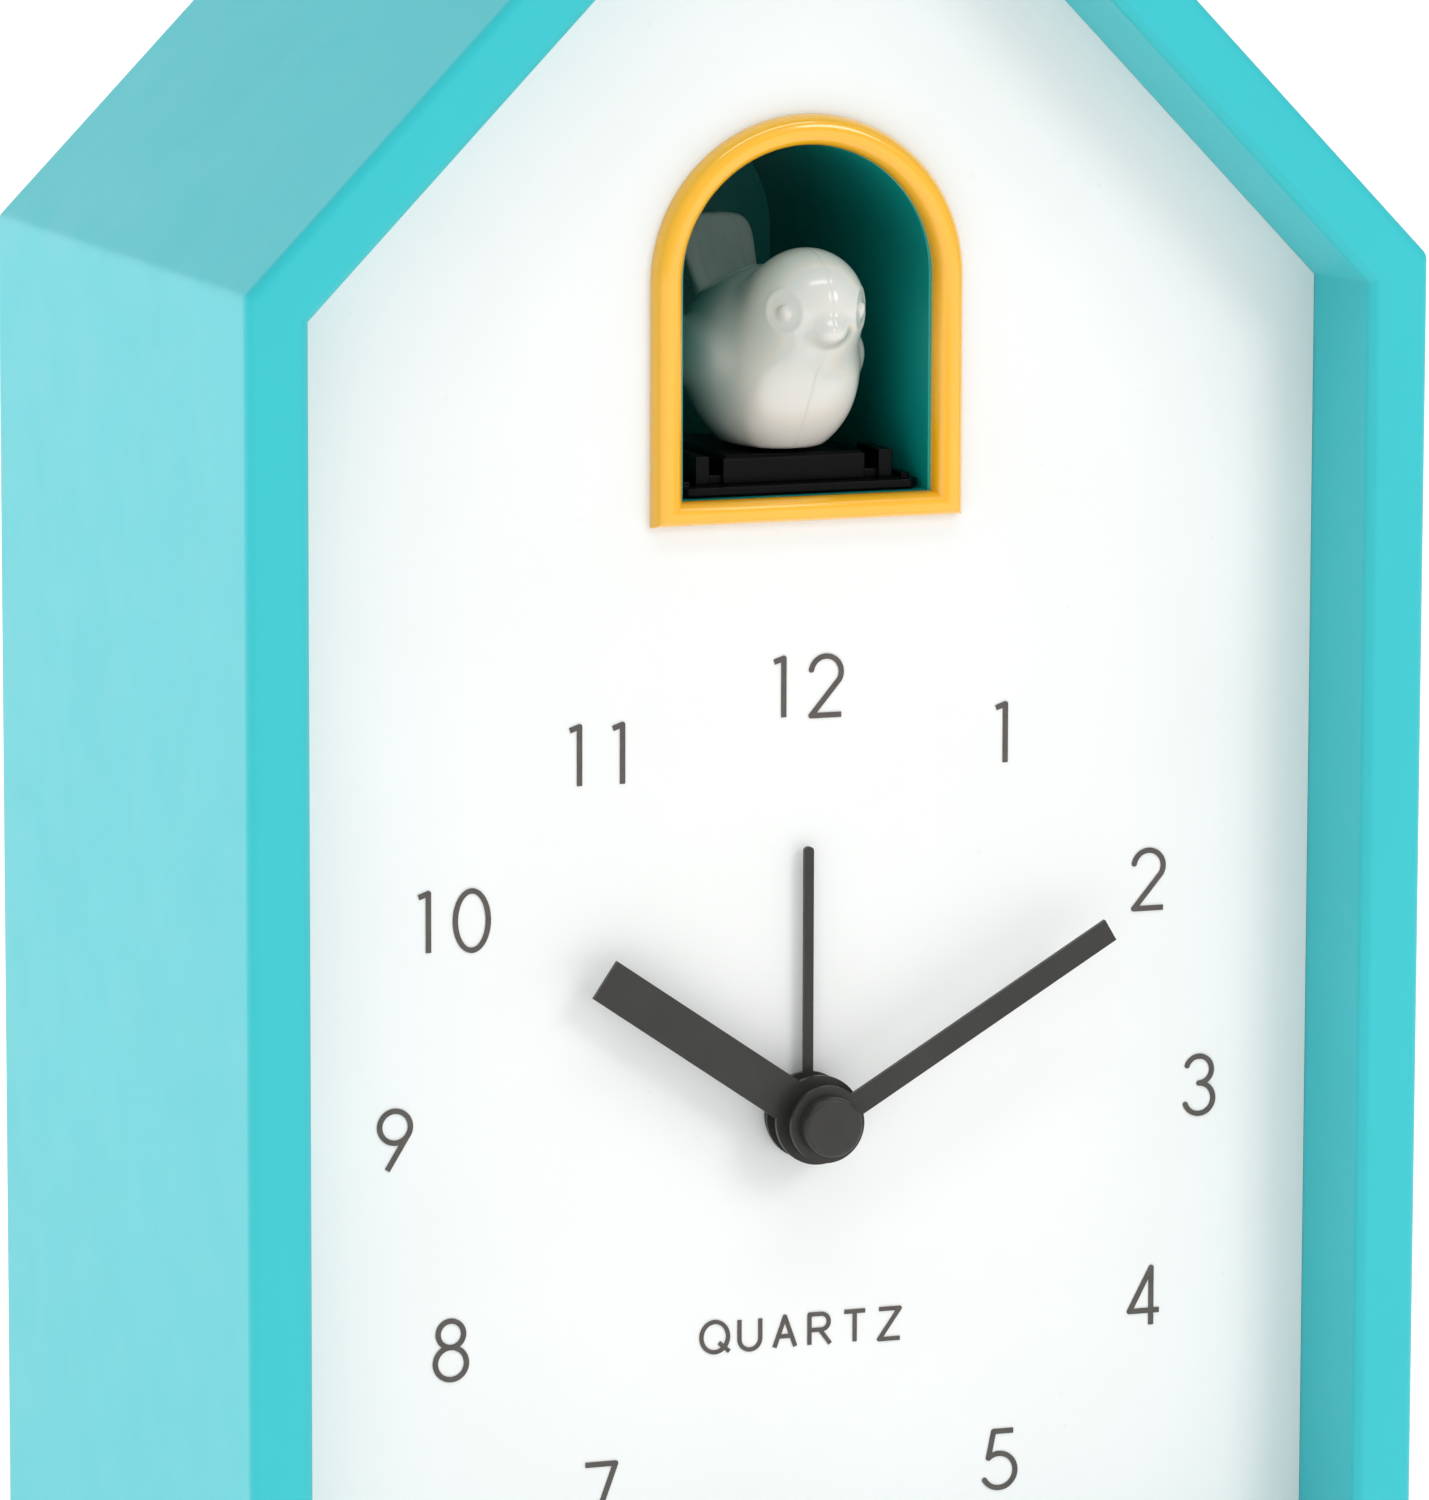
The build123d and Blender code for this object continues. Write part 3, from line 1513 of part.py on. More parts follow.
with BuildPart() as battery_door:
    with BuildSketch(sideways(-door_half)):
        with Locations(((cover_back + cover_back - door_thickness) / 2, (door_axis_z + door_top) / 2)):
            Rectangle(door_thickness, door_top - door_axis_z)
        with Locations((door_axis_y, door_axis_z)):
            Circle(door_thickness / 2)
    extrude(amount=2 * door_half)
    with BuildSketch(sideways(-door_half - 1.2)):
        with Locations((door_axis_y, door_axis_z)):
            Circle(hinge_radius)
    extrude(amount=2 * (door_half + 1.2))
    # grip ridges near the top edge
    with BuildSketch(facing(cover_back)):
        with GridLocations(0, 2.4, 1, 3):
            with Locations((0, door_top - 5.0)):
                SlotOverall(18.0, 0.9)
    extrude(amount=0.5, mode=Mode.SUBTRACT)

battery_door.part.label = "battery_door"
export_step(battery_door.part, "parts/battery_door.step")

cell_depth = battery_front + box_wall + 0.3 + cell_radius
cell_heights = [battery_middle + (row - (cell_count - 1) / 2) * cell_pitch for row in range(cell_count)]

with BuildPart() as battery_cells:
    for row, height in enumerate(cell_heights):
        sense = 1 if row % 2 == 0 else -1
        start = -cell_length / 2
        with BuildSketch(sideways(start)):
            with Locations((cell_depth, height)):
                Circle(cell_radius)
        extrude(amount=cell_length - 1.0)
        with BuildSketch(sideways(start if sense < 0 else start + cell_length - 1.0)):
            with Locations((cell_depth, height)):
                Circle(2.7)
        extrude(amount=1.0 if sense > 0 else -1.0)

battery_cells.part.label = "battery_cells"
export_step(battery_cells.part, "parts/battery_cells.step")

contact_gap = battery_width / 2 - 0.5

with BuildPart() as battery_contacts:
    for side in (-1, 1):
        for height in cell_heights:
            with Locations((side * (contact_gap - 0.2), cell_depth, height)):
                Box(0.4, 9.0, 9.0)

    for row, height in enumerate(cell_heights):
        sense = -1 if row % 2 == 0 else 1
        tip = contact_gap - 0.4
        flat = (cell_length / 2 if sense < 0 else cell_length / 2 - 1.0) + 0.1
        for turn in range(3):
            place = flat + 0.35 + (tip - flat - 0.35) * turn / 3
            with Locations(Location((sense * place, cell_depth, height), (0, 90, 0))):
                Torus(3.4 - 0.5 * (2 - turn) / 2, 0.3)

battery_contacts.part.label = "battery_contacts"
export_step(battery_contacts.part, "parts/battery_contacts.step")

# ---------------------------------------------------------------- knobs and shafts


def knob(centre):
    """Ribbed round knob in its cup."""
    with BuildSketch(facing(cup_floor + 0.4)) as body:
        with Locations(centre):
            Circle(knob_radius - 0.4)
            with PolarLocations(knob_radius - 0.4, 18):
                Circle(0.4)
    extrude(to_extrude=body.sketch, amount=-(knob_recess - 0.6))
    with BuildSketch(facing(cup_floor + 0.4)) as bore:
        with Locations(centre):
            Circle(knob_shaft_radius)
    extrude(to_extrude=bore.sketch, amount=-3.0, mode=Mode.SUBTRACT)
    # pointer line sunk in the top
    with BuildSketch(facing(cover_back - 0.2)) as line:
        with Locations((centre[0], centre[1] + 3.0)):
            SlotOverall(4.0, 0.8, rotation=90)
    extrude(to_extrude=line.sketch, amount=0.5, mode=Mode.SUBTRACT)


with BuildPart() as time_knob:
    knob(time_knob_centre)

time_knob.part.label = "time_knob"
export_step(time_knob.part, "parts/time_knob.step")

with BuildPart() as alarm_knob:
    knob(alarm_knob_centre)

alarm_knob.part.label = "alarm_knob"
export_step(alarm_knob.part, "parts/alarm_knob.step")

with BuildPart() as time_shaft:
    spindle(time_knob_centre, 0.8, layer - 0.7, layer + 3.5)
    spindle(time_knob_centre, knob_shaft_radius, layer + 3.5, cup_floor + 3.4)
    wheel(
        time_knob_centre,
        motion_module,
        knob_pinion_teeth,
        0,
        time_pinion_tooth,
        layer + 3.5,
        1.2,
    )

time_shaft.part.label = "time_shaft"
export_step(time_shaft.part, "parts/time_shaft.step")

with BuildPart() as alarm_shaft:
    spindle(alarm_knob_centre, 0.8, layer - 0.7, layer + 0.3)
    spindle(alarm_knob_centre, knob_shaft_radius, layer + 0.3, cup_floor + 3.4)
    wheel(
        alarm_knob_centre,
        alarm_module,
        alarm_pinion_teeth,
        0,
        alarm_pinion_tooth,
        layer + 0.3,
        1.2,
    )

alarm_shaft.part.label = "alarm_shaft"
export_step(alarm_shaft.part, "parts/alarm_shaft.step")

# ---------------------------------------------------------------- speaker

speaker_mount = cover_front - 4.0

with BuildPart() as speaker_frame:
    with BuildSketch(facing(speaker_mount)):
        with Locations(grille):
            Circle(speaker_radius)
        with Locations(*speaker_posts):
            Circle(3.4)
        with Locations(grille):
            Circle(speaker_radius - 2.2, mode=Mode.SUBTRACT)
        with Locations(*speaker_posts):
            Circle(1.0, mode=Mode.SUBTRACT)
    extrude(amount=1.2)
    # basket down to the magnet
    with BuildSketch(sideways(0)):
        with BuildLine():
            Polyline(
                (speaker_mount - 1.2, speaker_height + 17.8),
                (speaker_mount - 1.2, speaker_height + 19.0),
                (speaker_mount - 7.0, speaker_height + 10.2),
                (speaker_mount - 7.0, speaker_height + 5.0),
                (speaker_mount - 6.2, speaker_height + 5.0),
                (speaker_mount - 6.2, speaker_height + 9.8),
                close=True,
            )
        make_face()
    revolve(axis=Axis((0, 0, speaker_height), (0, 1, 0)))

speaker_frame.part.label = "speaker_frame"
export_step(speaker_frame.part, "parts/speaker_frame.step")

with BuildPart() as speaker_cone:
    with BuildSketch(sideways(0)):
        with BuildLine():
            Polyline(
                (speaker_mount, speaker_height + 19.2),
                (speaker_mount + 0.4, speaker_height + 19.2),
                (speaker_mount + 0.4, speaker_height + 15.0),
                (speaker_mount - 3.0, speaker_height + 6.0),
                (speaker_mount - 2.4, speaker_height),
                (speaker_mount - 2.9, speaker_height),
                (speaker_mount - 3.5, speaker_height + 5.8),
                (speaker_mount, speaker_height + 15.0),
                close=True,
            )
        make_face()
    revolve(axis=Axis((0, 0, speaker_height), (0, 1, 0)))

speaker_cone.part.label = "speaker_cone"
export_step(speaker_cone.part, "parts/speaker_cone.step")

with BuildPart() as speaker_magnet:
    with BuildSketch(facing(speaker_mount - 7.0)):
        with Locations(grille):
            Circle(9.5)
    extrude(amount=5.0)
    fillet(speaker_magnet.faces().sort_by(Axis.Y)[0].edges(), 0.6)

speaker_magnet.part.label = "speaker_magnet"
export_step(speaker_magnet.part, "parts/speaker_magnet.step")


with BuildPart() as small_screws:
    # tunnel ears, drive bracket and motor
    screw(facing(ear_front + 2.0), tunnel_screws, small_screw_radius, 6.0, 1.6, 1.0)
    screw(level(bracket_top - bracket_thickness), rib_screws, small_screw_radius, 4.5, 1.6, 1.0)
    screw(
        sideways(bracket_side),
        [(motor_centre[0] - 6.0, motor_centre[1]), (motor_centre[0] + 6.0, motor_centre[1])],
        small_screw_radius,
        4.5,
        1.6,
        0.7,
    )
    # sound board and speaker
    screw(
        Plane(origin=(0, board_front, 0), x_dir=(-1, 0, 0), z_dir=(0, 1, 0)),
        [(-place[0], place[1]) for place in board_posts],
        small_screw_radius,
        6.0,
        1.6,
        1.0,
    )
    screw(
        Plane(origin=(0, speaker_mount - 1.2, 0), x_dir=(-1, 0, 0), z_dir=(0, 1, 0)),
        [(-place[0], place[1]) for place in speaker_posts],
        small_screw_radius,
        4.6,
        1.6,
        1.0,
    )

small_screws.part.label = "small_screws"
export_step(small_screws.part, "parts/small_screws.step")

# ---------------------------------------------------------------- sound board and switches

board_back = board_front + 1.6
switch_depth = 4.8
slider_travel = 5.0

with BuildPart() as sound_board:
    with BuildSketch(facing(board_front)):
        with Locations((0, 118.0)):
            RectangleRounded(80.0, 26.0, 2.0)
        with Locations(*board_posts):
            Circle(1.0, mode=Mode.SUBTRACT)
    extrude(amount=-1.6)

sound_board.part.label = "sound_board"
export_step(sound_board.part, "parts/sound_board.step")

with BuildPart() as board_chips:
    for across, up, width, tall, deep in (
        (-16.0, 119.0, 9.0, 7.0, 1.6),
        (10.0, 121.0, 5.0, 6.0, 1.5),
        (22.0, 113.0, 4.0, 4.0, 1.2),
        (-4.0, 111.0, 3.2, 1.6, 0.8),
        (4.0, 111.0, 3.2, 1.6, 0.8),
        (-26.0, 112.0, 3.2, 1.6, 0.8),
    ):
        with Locations((across, board_front - deep / 2, up)):
            Box(width, deep, tall)

    for across in (-28.0, 28.0, 17.0):
        with BuildSketch(facing(board_front)):
            with Locations((across, 122.0)):
                Circle(2.5)
        extrude(amount=6.0)

board_chips.part.label = "board_chips"
export_step(board_chips.part, "parts/board_chips.step")

with BuildPart() as switch_bodies:
    for centre in (alarm_switch, sound_switch):
        with BuildSketch(facing(board_back)):
            with Locations(centre):
                Rectangle(14.0, 7.0)
        extrude(amount=-switch_depth)
        with BuildSketch(facing(board_back + 1.0)):
            with Locations(centre):
                Rectangle(11.4, 3.6)
        extrude(amount=-(switch_depth - 1.0), mode=Mode.SUBTRACT)
    with BuildSketch(facing(board_back)):
        with Locations(call_button):
            Rectangle(9.0, 9.0)
    extrude(amount=-switch_depth)
    with BuildSketch(facing(board_back + 1.0)):
        with Locations(call_button):
            Circle(3.6)
    extrude(amount=-(switch_depth - 1.0), mode=Mode.SUBTRACT)

switch_bodies.part.label = "switch_bodies"
export_step(switch_bodies.part, "parts/switch_bodies.step")


def slider(centre, offset):
    """Slide-switch slider: a block in the switch and a ridged nub through the cover."""
    with BuildSketch(facing(board_back + 1.3)) as foot:
        with Locations((centre[0] + offset, centre[1])):
            Rectangle(5.4, 3.0)
    extrude(to_extrude=foot.sketch, amount=-(switch_depth - 1.0))
    with BuildSketch(facing(board_back + 1.3)) as nub:
        with Locations((centre[0] + offset, centre[1])):
            Rectangle(3.4, 2.8)
    extrude(to_extrude=nub.sketch, amount=-(cover_back + 0.9 - board_back - 1.3))
    with BuildSketch(facing(cover_back + 0.9)) as ridge:
        with Locations((centre[0] + offset - 0.9, centre[1]), (centre[0] + offset + 0.9, centre[1])):
            Rectangle(0.5, 2.8)
    extrude(to_extrude=ridge.sketch, amount=0.4, mode=Mode.SUBTRACT)


with BuildPart() as alarm_slider:
    slider(alarm_switch, -slider_travel / 2)

alarm_slider.part.label = "alarm_slider"
export_step(alarm_slider.part, "parts/alarm_slider.step")

with BuildPart() as sound_slider:
    slider(sound_switch, -slider_travel / 2)

sound_slider.part.label = "sound_slider"
export_step(sound_slider.part, "parts/sound_slider.step")

button_stroke = 1.0

with BuildPart() as call_cap:
    with BuildSketch(facing(board_back + 1.4 + button_stroke)):
        with Locations(call_button):
            Circle(3.2)
    extrude(amount=-(cover_back + 1.0 - board_back - 1.4 - button_stroke))
    fillet(call_cap.faces().sort_by(Axis.Y)[-1].edges(), 0.6)

call_cap.part.label = "call_button"
export_step(call_cap.part, "parts/call_button.step")

# ---------------------------------------------------------------- feet

with BuildPart() as rubber_feet:
    with BuildSketch(level(0)):
        with Locations(*feet_places):
            Circle(5.7)
    extrude(amount=foot_height + 0.95)
    lower = rubber_feet.edges().filter_by(GeomType.CIRCLE).group_by(Axis.Z)[0]
    fillet(lower, 0.4)

rubber_feet.part.label = "rubber_feet"
export_step(rubber_feet.part, "parts/rubber_feet.step")
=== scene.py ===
import math

import bpy
import numpy as np
from bpy.props import FloatProperty, FloatVectorProperty, IntProperty, PointerProperty
from mathutils import Matrix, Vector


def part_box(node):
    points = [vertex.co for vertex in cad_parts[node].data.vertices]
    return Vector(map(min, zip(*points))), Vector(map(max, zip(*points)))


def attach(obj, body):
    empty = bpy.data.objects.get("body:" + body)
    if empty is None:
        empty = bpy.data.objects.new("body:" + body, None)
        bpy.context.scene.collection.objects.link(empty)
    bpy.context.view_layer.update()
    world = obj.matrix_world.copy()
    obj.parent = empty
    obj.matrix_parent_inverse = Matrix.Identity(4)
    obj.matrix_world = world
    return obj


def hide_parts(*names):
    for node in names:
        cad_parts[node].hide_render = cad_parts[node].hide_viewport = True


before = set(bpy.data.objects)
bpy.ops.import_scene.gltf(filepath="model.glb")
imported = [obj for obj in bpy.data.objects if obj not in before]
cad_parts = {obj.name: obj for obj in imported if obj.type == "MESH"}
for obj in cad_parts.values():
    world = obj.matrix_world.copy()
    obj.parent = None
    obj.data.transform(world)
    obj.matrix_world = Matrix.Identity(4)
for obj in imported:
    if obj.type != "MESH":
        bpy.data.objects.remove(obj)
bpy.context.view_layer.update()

bl_info = {
    "name": "Cuckoo clock looks",
    "version": (1, 0, 0),
    "blender": (4, 5, 0),
    "location": "View3D > Sidebar > Clock",
    "description": "Finishes, shaped pieces and studio for a house-shaped cuckoo alarm clock",
    "category": "Object",
}

MM = 0.001


def paint(red, green, blue):
    """Scene-linear colour of an 8-bit display colour.

    Each part c from 0 to 1 becomes (c + 0.055) / 1.055 to the power 2.4, or c / 12.92 when it is dark.
    """
    shown = np.array((red, green, blue)) / 255.0
    linear = np.where(shown > 0.04045, ((shown + 0.055) / 1.055) ** 2.4, shown / 12.92)
    return tuple(float(part) for part in linear)


def colour(name, description, shown):
    """Colour property with its default given as an 8-bit display colour."""
    return FloatVectorProperty(
        name=name, description=description, subtype="COLOR", size=3, min=0.0, max=1.0, default=paint(*shown)
    )


def length(name, description, millimetres, low=0.0, high=5000.0):
    """Length property in metres with its default given in millimetres."""
    return FloatProperty(
        name=name,
        description=description,
        subtype="DISTANCE",
        unit="LENGTH",
        default=millimetres * MM,
        min=low * MM,
        max=high * MM,
        precision=5,
    )


def angle(name, description, degrees):
    """Angle property with its default given in degrees."""
    return FloatProperty(name=name, description=description, subtype="ANGLE", default=math.radians(degrees))


def power(name, description, watts):
    """Light power property in watts."""
    return FloatProperty(name=name, description=description, unit="POWER", default=watts, min=0)


# ------------------------------------------------------------------ settings


class ClockColours(bpy.types.PropertyGroup):
    case: colour("Case", "Turquoise of the house shell and back cover", (31, 185, 193))
    dial: colour("Dial", "White of the dial panel", (236, 236, 235))
    ink: colour("Print", "Grey of the numerals", (78, 72, 68))
    bezel: colour("Arch frame", "Yellow of the arch frame", (247, 178, 24))
    # The niche teal is darker than the case turquoise: painted shade for the deep niche.
    niche: colour("Niche", "Dark teal of the niche walls", (2, 154, 146))
    bird: colour("Bird", "White of the bird", (214, 211, 205))
    hands: colour("Hands", "Lacquer on the three hands", (48, 47, 44))
    black: colour("Black plastic", "Bird carriage, knobs and small mouldings", (3, 3, 4))
    movement: colour("Movement", "Dark plastic of the movement housing", (34, 36, 39))
    nylon: colour("Nylon", "Natural nylon of the gear wheels", (222, 218, 203))
    board: colour("Circuit board", "Solder mask", (18, 84, 48))
    floor: colour("Floor", "Pale studio floor and backdrop", (244, 244, 243))


class ClockSizes(bpy.types.PropertyGroup):
    texture: length("Moulding texture", "Size of one speck of the moulded texture", 0.35, 0.02, 5)
    texture_depth: length("Texture depth", "Depth of the moulded texture", 0.006, 0.0, 0.5)
    bezel_crown: FloatProperty(
        name="Arch frame crown",
        description="Power of the superellipse across the bar; 2 is round",
        default=2.25,
        min=1.5,
        max=8,
    )
    neck: length("Neck blend", "Width of the soft blend between head and body", 3.4, 0.1, 20)
    wing_blend: length("Wing blend", "Width of the blend round each wing", 0.9, 0.1, 10)
    seam: length("Seam depth", "Depth of the moulding seam down the bird", 0.07, 0.0, 1)
    eye_dish: length("Eye dish", "Depth of the dish round each eye", 0.36, 0.0, 2)
    bird_columns: IntProperty(
        name="Bird columns", description="Grid columns round the bird", default=300, min=40, max=320
    )
    bird_rows: IntProperty(
        name="Bird rows", description="Grid rows from crown to base", default=220, min=30, max=300
    )


class ClockStudio(bpy.types.PropertyGroup):
    lens: FloatProperty(
        name="Lens",
        description="Focal length in millimetres",
        subtype="DISTANCE_CAMERA",
        default=225.4,
        min=10,
        max=1000,
    )
    yaw: angle("Yaw", "Camera turn to the right of straight on", 20.55)
    pitch: angle("Pitch", "Camera tilt downwards", 8.88)
    roll: angle("Roll", "Camera turn about its own axis", 0.15)
    key: power("Key light", "Power of the soft light high on the right", 25.0)
    side: power("Side light", "Power of the large panel on the left", 14.0)
    top: power("Top light", "Power of the narrow light overhead", 13.0)
    room: FloatProperty(name="Room light", description="Brightness of the white room", default=0.66, min=0)
    paper: FloatProperty(
        name="Paper glow", description="Light given off by the backdrop", default=0.55, min=0
    )


def colours():
    return bpy.context.scene.clock_colours


def sizes():
    return bpy.context.scene.clock_sizes


# ------------------------------------------------------------------ finishes


def add_node(material, kind, settings=(), inputs=()):
    """Adds one shader node and sets its properties and its unlinked sockets."""
    node = material.node_tree.nodes.new(kind)
    for name, value in dict(settings).items():
        setattr(node, name, value)
    for name, value in dict(inputs).items():
        node.inputs[name].default_value = value
    return node


def join(material, source, target):
    """Links an output socket to an input socket."""
    material.node_tree.links.new(source, target)


def blank(name, roughness, metallic=0.0, coat=0.0, coat_roughness=0.1, ior=1.5):
    """New finish with the values that are the same all over set on its shader."""
    material = bpy.data.materials.new(name)
    material.use_nodes = True
    shader = material.node_tree.nodes["Principled BSDF"]
    shader.inputs["Roughness"].default_value = roughness
    shader.inputs["Metallic"].default_value = metallic
    shader.inputs["Coat Weight"].default_value = coat
    shader.inputs["Coat Roughness"].default_value = coat_roughness
    shader.inputs["IOR"].default_value = ior
    return material, shader


def place(material, stretch=(1, 1, 1), centre=(0, 0, 0)):
    """Position on the piece in metres, moved by the centre and stretched on each axis."""
    where = add_node(material, "ShaderNodeTexCoord")
    moved = add_node(material, "ShaderNodeMapping", {"vector_type": "POINT"})
    moved.inputs["Scale"].default_value = stretch
    moved.inputs["Location"].default_value = [-middle * factor for middle, factor in zip(centre, stretch)]
    join(material, where.outputs["Object"], moved.inputs["Vector"])
    return moved.outputs["Vector"]


def cloud(material, size, detail=3.0, rough=0.55, stretch=(1, 1, 1)):
    """Soft noise with lumps of the given size in metres, 0 to 1."""
    noise = add_node(
        material, "ShaderNodeTexNoise", {}, {"Scale": 1.0 / size, "Detail": detail, "Roughness": rough}
    )
    join(material, place(material, stretch), noise.inputs["Vector"])
    return noise.outputs["Fac"]


def ramp(material, source, stops, interpolation="LINEAR"):
    """Colour ramp over a value; stops are (position, linear colour)."""
    node = add_node(material, "ShaderNodeValToRGB")
    node.color_ramp.interpolation = interpolation
    elements = node.color_ramp.elements
    while len(elements) < len(stops):
        elements.new(0.5)
    for element, (position, shade) in zip(elements, stops):
        element.position = position
        element.color = (*shade, 1.0)
    join(material, source, node.inputs["Fac"])
    return node.outputs["Color"]


def spread(material, source, low, high, from_low=0.3, from_high=0.7):
    """Value between low and high that follows the source."""
    node = add_node(
        material,
        "ShaderNodeMapRange",
        {},
        {"From Min": from_low, "From Max": from_high, "To Min": low, "To Max": high},
    )
    join(material, source, node.inputs["Value"])
    return node.outputs["Result"]


def relief(material, shader, layers, easing=0.0):
    """Chained bumps over edges eased to a small radius; each layer is (height source, depth in metres)."""
    last = None
    if easing:
        eased = add_node(material, "ShaderNodeBevel", {"samples": 6}, {"Radius": easing})
        last = eased.outputs["Normal"]
    for height, depth in layers:
        bump = add_node(material, "ShaderNodeBump", {}, {"Strength": 1.0, "Distance": depth})
        join(material, height, bump.inputs["Height"])
        if last is not None:
            join(material, last, bump.inputs["Normal"])
        last = bump.outputs["Normal"]
    join(material, last, shader.inputs["Normal"])


def shaded(base, factor):
    """Linear colour made lighter or darker by a factor."""
    return tuple(min(1.0, part * factor) for part in base)


def moulded(
    name,
    base,
    roughness,
    variation=0.05,
    coat=0.0,
    coat_roughness=0.1,
    texture=None,
    depth=None,
    easing=0.0,
    ior=1.5,
):
    """Moulded plastic: faint flow mottling, uneven gloss, and a fine spark texture over slow sink marks."""
    material, shader = blank(name, roughness, coat=coat, coat_roughness=coat_roughness, ior=ior)
    texture = texture or sizes().texture
    depth = sizes().texture_depth if depth is None else depth
    flow = cloud(material, 0.018, 4.0, stretch=(1.0, 1.0, 0.6))
    tone = ramp(material, flow, [(0.3, shaded(base, 1 - variation)), (0.7, shaded(base, 1 + variation))])
    join(material, tone, shader.inputs["Base Color"])
    gloss = spread(material, cloud(material, 0.009, 5.0), roughness * 0.93, roughness * 1.07)
    join(material, gloss, shader.inputs["Roughness"])
    sinks = (cloud(material, 0.022, 1.0), depth * 3)
    sparks = (cloud(material, texture, 2.0, 0.6), depth)
    relief(material, shader, [sinks, sparks], easing)
    return material


def metal(name, base, roughness, brushed=(1, 1, 1), depth=0.000004):
    """Metal with a drawn or turned grain along the axis that is stretched least, and patchy tarnish."""
    material, shader = blank(name, roughness, metallic=1.0)
    tarnish = cloud(material, 0.004, 5.0)
    tone = ramp(material, tarnish, [(0.3, shaded(base, 0.82)), (0.68, shaded(base, 1.08))])
    join(material, tone, shader.inputs["Base Color"])
    grain = cloud(material, 0.0006, 3.0, stretch=brushed)
    join(material, spread(material, grain, roughness * 0.75, roughness * 1.3), shader.inputs["Roughness"])
    relief(material, shader, [(grain, depth)])
    return material


def case_plastic():
    """Satin turquoise moulding."""
    return moulded(
        "case_turquoise",
        tuple(colours().case),
        0.38,
        0.012,
        coat=0.03,
        coat_roughness=0.2,
        texture=0.0006,
        depth=0.0000025,
        easing=0.0009,
    )


def shaded_niche_plastic():
    """Semi-gloss teal moulding of the bird's room, darker than the case turquoise as painted shade for the
    deep niche.
    """
    base = tuple(colours().niche)
    return moulded("niche_teal_painted_shade", base, 0.34, 0.04, coat=0.1, coat_roughness=0.2, depth=0.000002)


def bezel_plastic():
    """Glossy yellow moulding."""
    base = tuple(colours().bezel)
    return moulded(
        "bezel_yellow", base, 0.2, 0.03, coat=0.7, coat_roughness=0.05, texture=0.0012, depth=0.000004
    )


def bird_plastic():
    """Glossy white moulding with a trace of light passing into it."""
    base = tuple(colours().bird)
    material = moulded(
        "bird_white", base, 0.24, 0.02, coat=0.6, coat_roughness=0.08, texture=0.0011, depth=0.000004
    )
    shader = material.node_tree.nodes["Principled BSDF"]
    shader.inputs["Subsurface Weight"].default_value = 0.12
    shader.inputs["Subsurface Radius"].default_value = (0.9, 0.8, 0.7)
    shader.inputs["Subsurface Scale"].default_value = 0.0012
    return material


def dial_lacquer():
    """Matt white lacquer with fine orange peel and a few grey dust specks."""
    base = tuple(colours().dial)
    material, shader = blank("dial_white", 0.5, coat=0.1, coat_roughness=0.35)
    cells = add_node(material, "ShaderNodeTexVoronoi", {"feature": "F1"}, {"Scale": 160.0})
    join(material, place(material), cells.inputs["Vector"])
    dust = [(0.0, shaded(base, 0.9)), (0.035, shaded(base, 0.985)), (0.05, base)]
    specks = ramp(material, cells.outputs["Distance"], dust)
    tone = ramp(material, cloud(material, 0.03, 3.0), [(0.3, (0.975, 0.975, 0.97)), (0.7, (1.0, 1.0, 1.0))])
    both = add_node(
        material, "ShaderNodeMix", {"data_type": "RGBA", "blend_type": "MULTIPLY"}, {"Factor": 1.0}
    )
    join(material, specks, both.inputs["A"])
    join(material, tone, both.inputs["B"])
    join(material, both.outputs["Result"], shader.inputs["Base Color"])
    join(material, spread(material, cloud(material, 0.006, 4.0), 0.44, 0.58), shader.inputs["Roughness"])
    relief(material, shader, [(cloud(material, 0.0007, 2.0), 0.000006)])
    return material


def printed_ink():
    """Screen-printed ink, slightly uneven in cover."""
    base = tuple(colours().ink)
    material, shader = blank("numeral_ink", 0.55)
    cover = [(0.25, shaded(base, 0.8)), (0.75, shaded(base, 1.22))]
    tone = ramp(material, cloud(material, 0.0012, 4.0), cover)
    join(material, tone, shader.inputs["Base Color"])
    relief(material, shader, [(cloud(material, 0.00025, 2.0), 0.000008)])
    return material


def hand_lacquer():
    """Warm grey lacquer over pressed metal, with a faint rolled grain."""
    base = tuple(colours().hands)
    material, shader = blank("hand_grey", 0.4, ior=1.38)
    tone = ramp(material, cloud(material, 0.005, 4.0), [(0.3, shaded(base, 0.9)), (0.7, shaded(base, 1.12))])
    join(material, tone, shader.inputs["Base Color"])
    join(material, spread(material, cloud(material, 0.002, 4.0), 0.32, 0.44), shader.inputs["Roughness"])
    relief(material, shader, [(cloud(material, 0.0004, 3.0, stretch=(1, 1, 0.25)), 0.000006)])
    return material


def circuit_board():
    """Green solder mask with raised copper tracks on a square grid."""
    base = tuple(colours().board)
    material, shader = blank("board_green", 0.32, coat=0.3)
    tracks = add_node(
        material,
        "ShaderNodeTexBrick",
        {"offset": 0.37, "squash": 1.6},
        {"Scale": 210.0, "Mortar Size": 0.035},
    )
    tracks.inputs["Color1"].default_value = (*base, 1)
    tracks.inputs["Color2"].default_value = (*shaded(base, 0.86), 1)
    tracks.inputs["Mortar"].default_value = (*shaded(base, 1.9), 1)
    turned = add_node(material, "ShaderNodeMapping", {}, {"Rotation": (math.radians(90), 0, 0)})
    join(material, place(material), turned.inputs["Vector"])
    join(material, turned.outputs["Vector"], tracks.inputs["Vector"])
    join(material, tracks.outputs["Color"], shader.inputs["Base Color"])
    relief(material, shader, [(tracks.outputs["Fac"], 0.00003), (cloud(material, 0.0005, 3.0), 0.000008)])
    return material


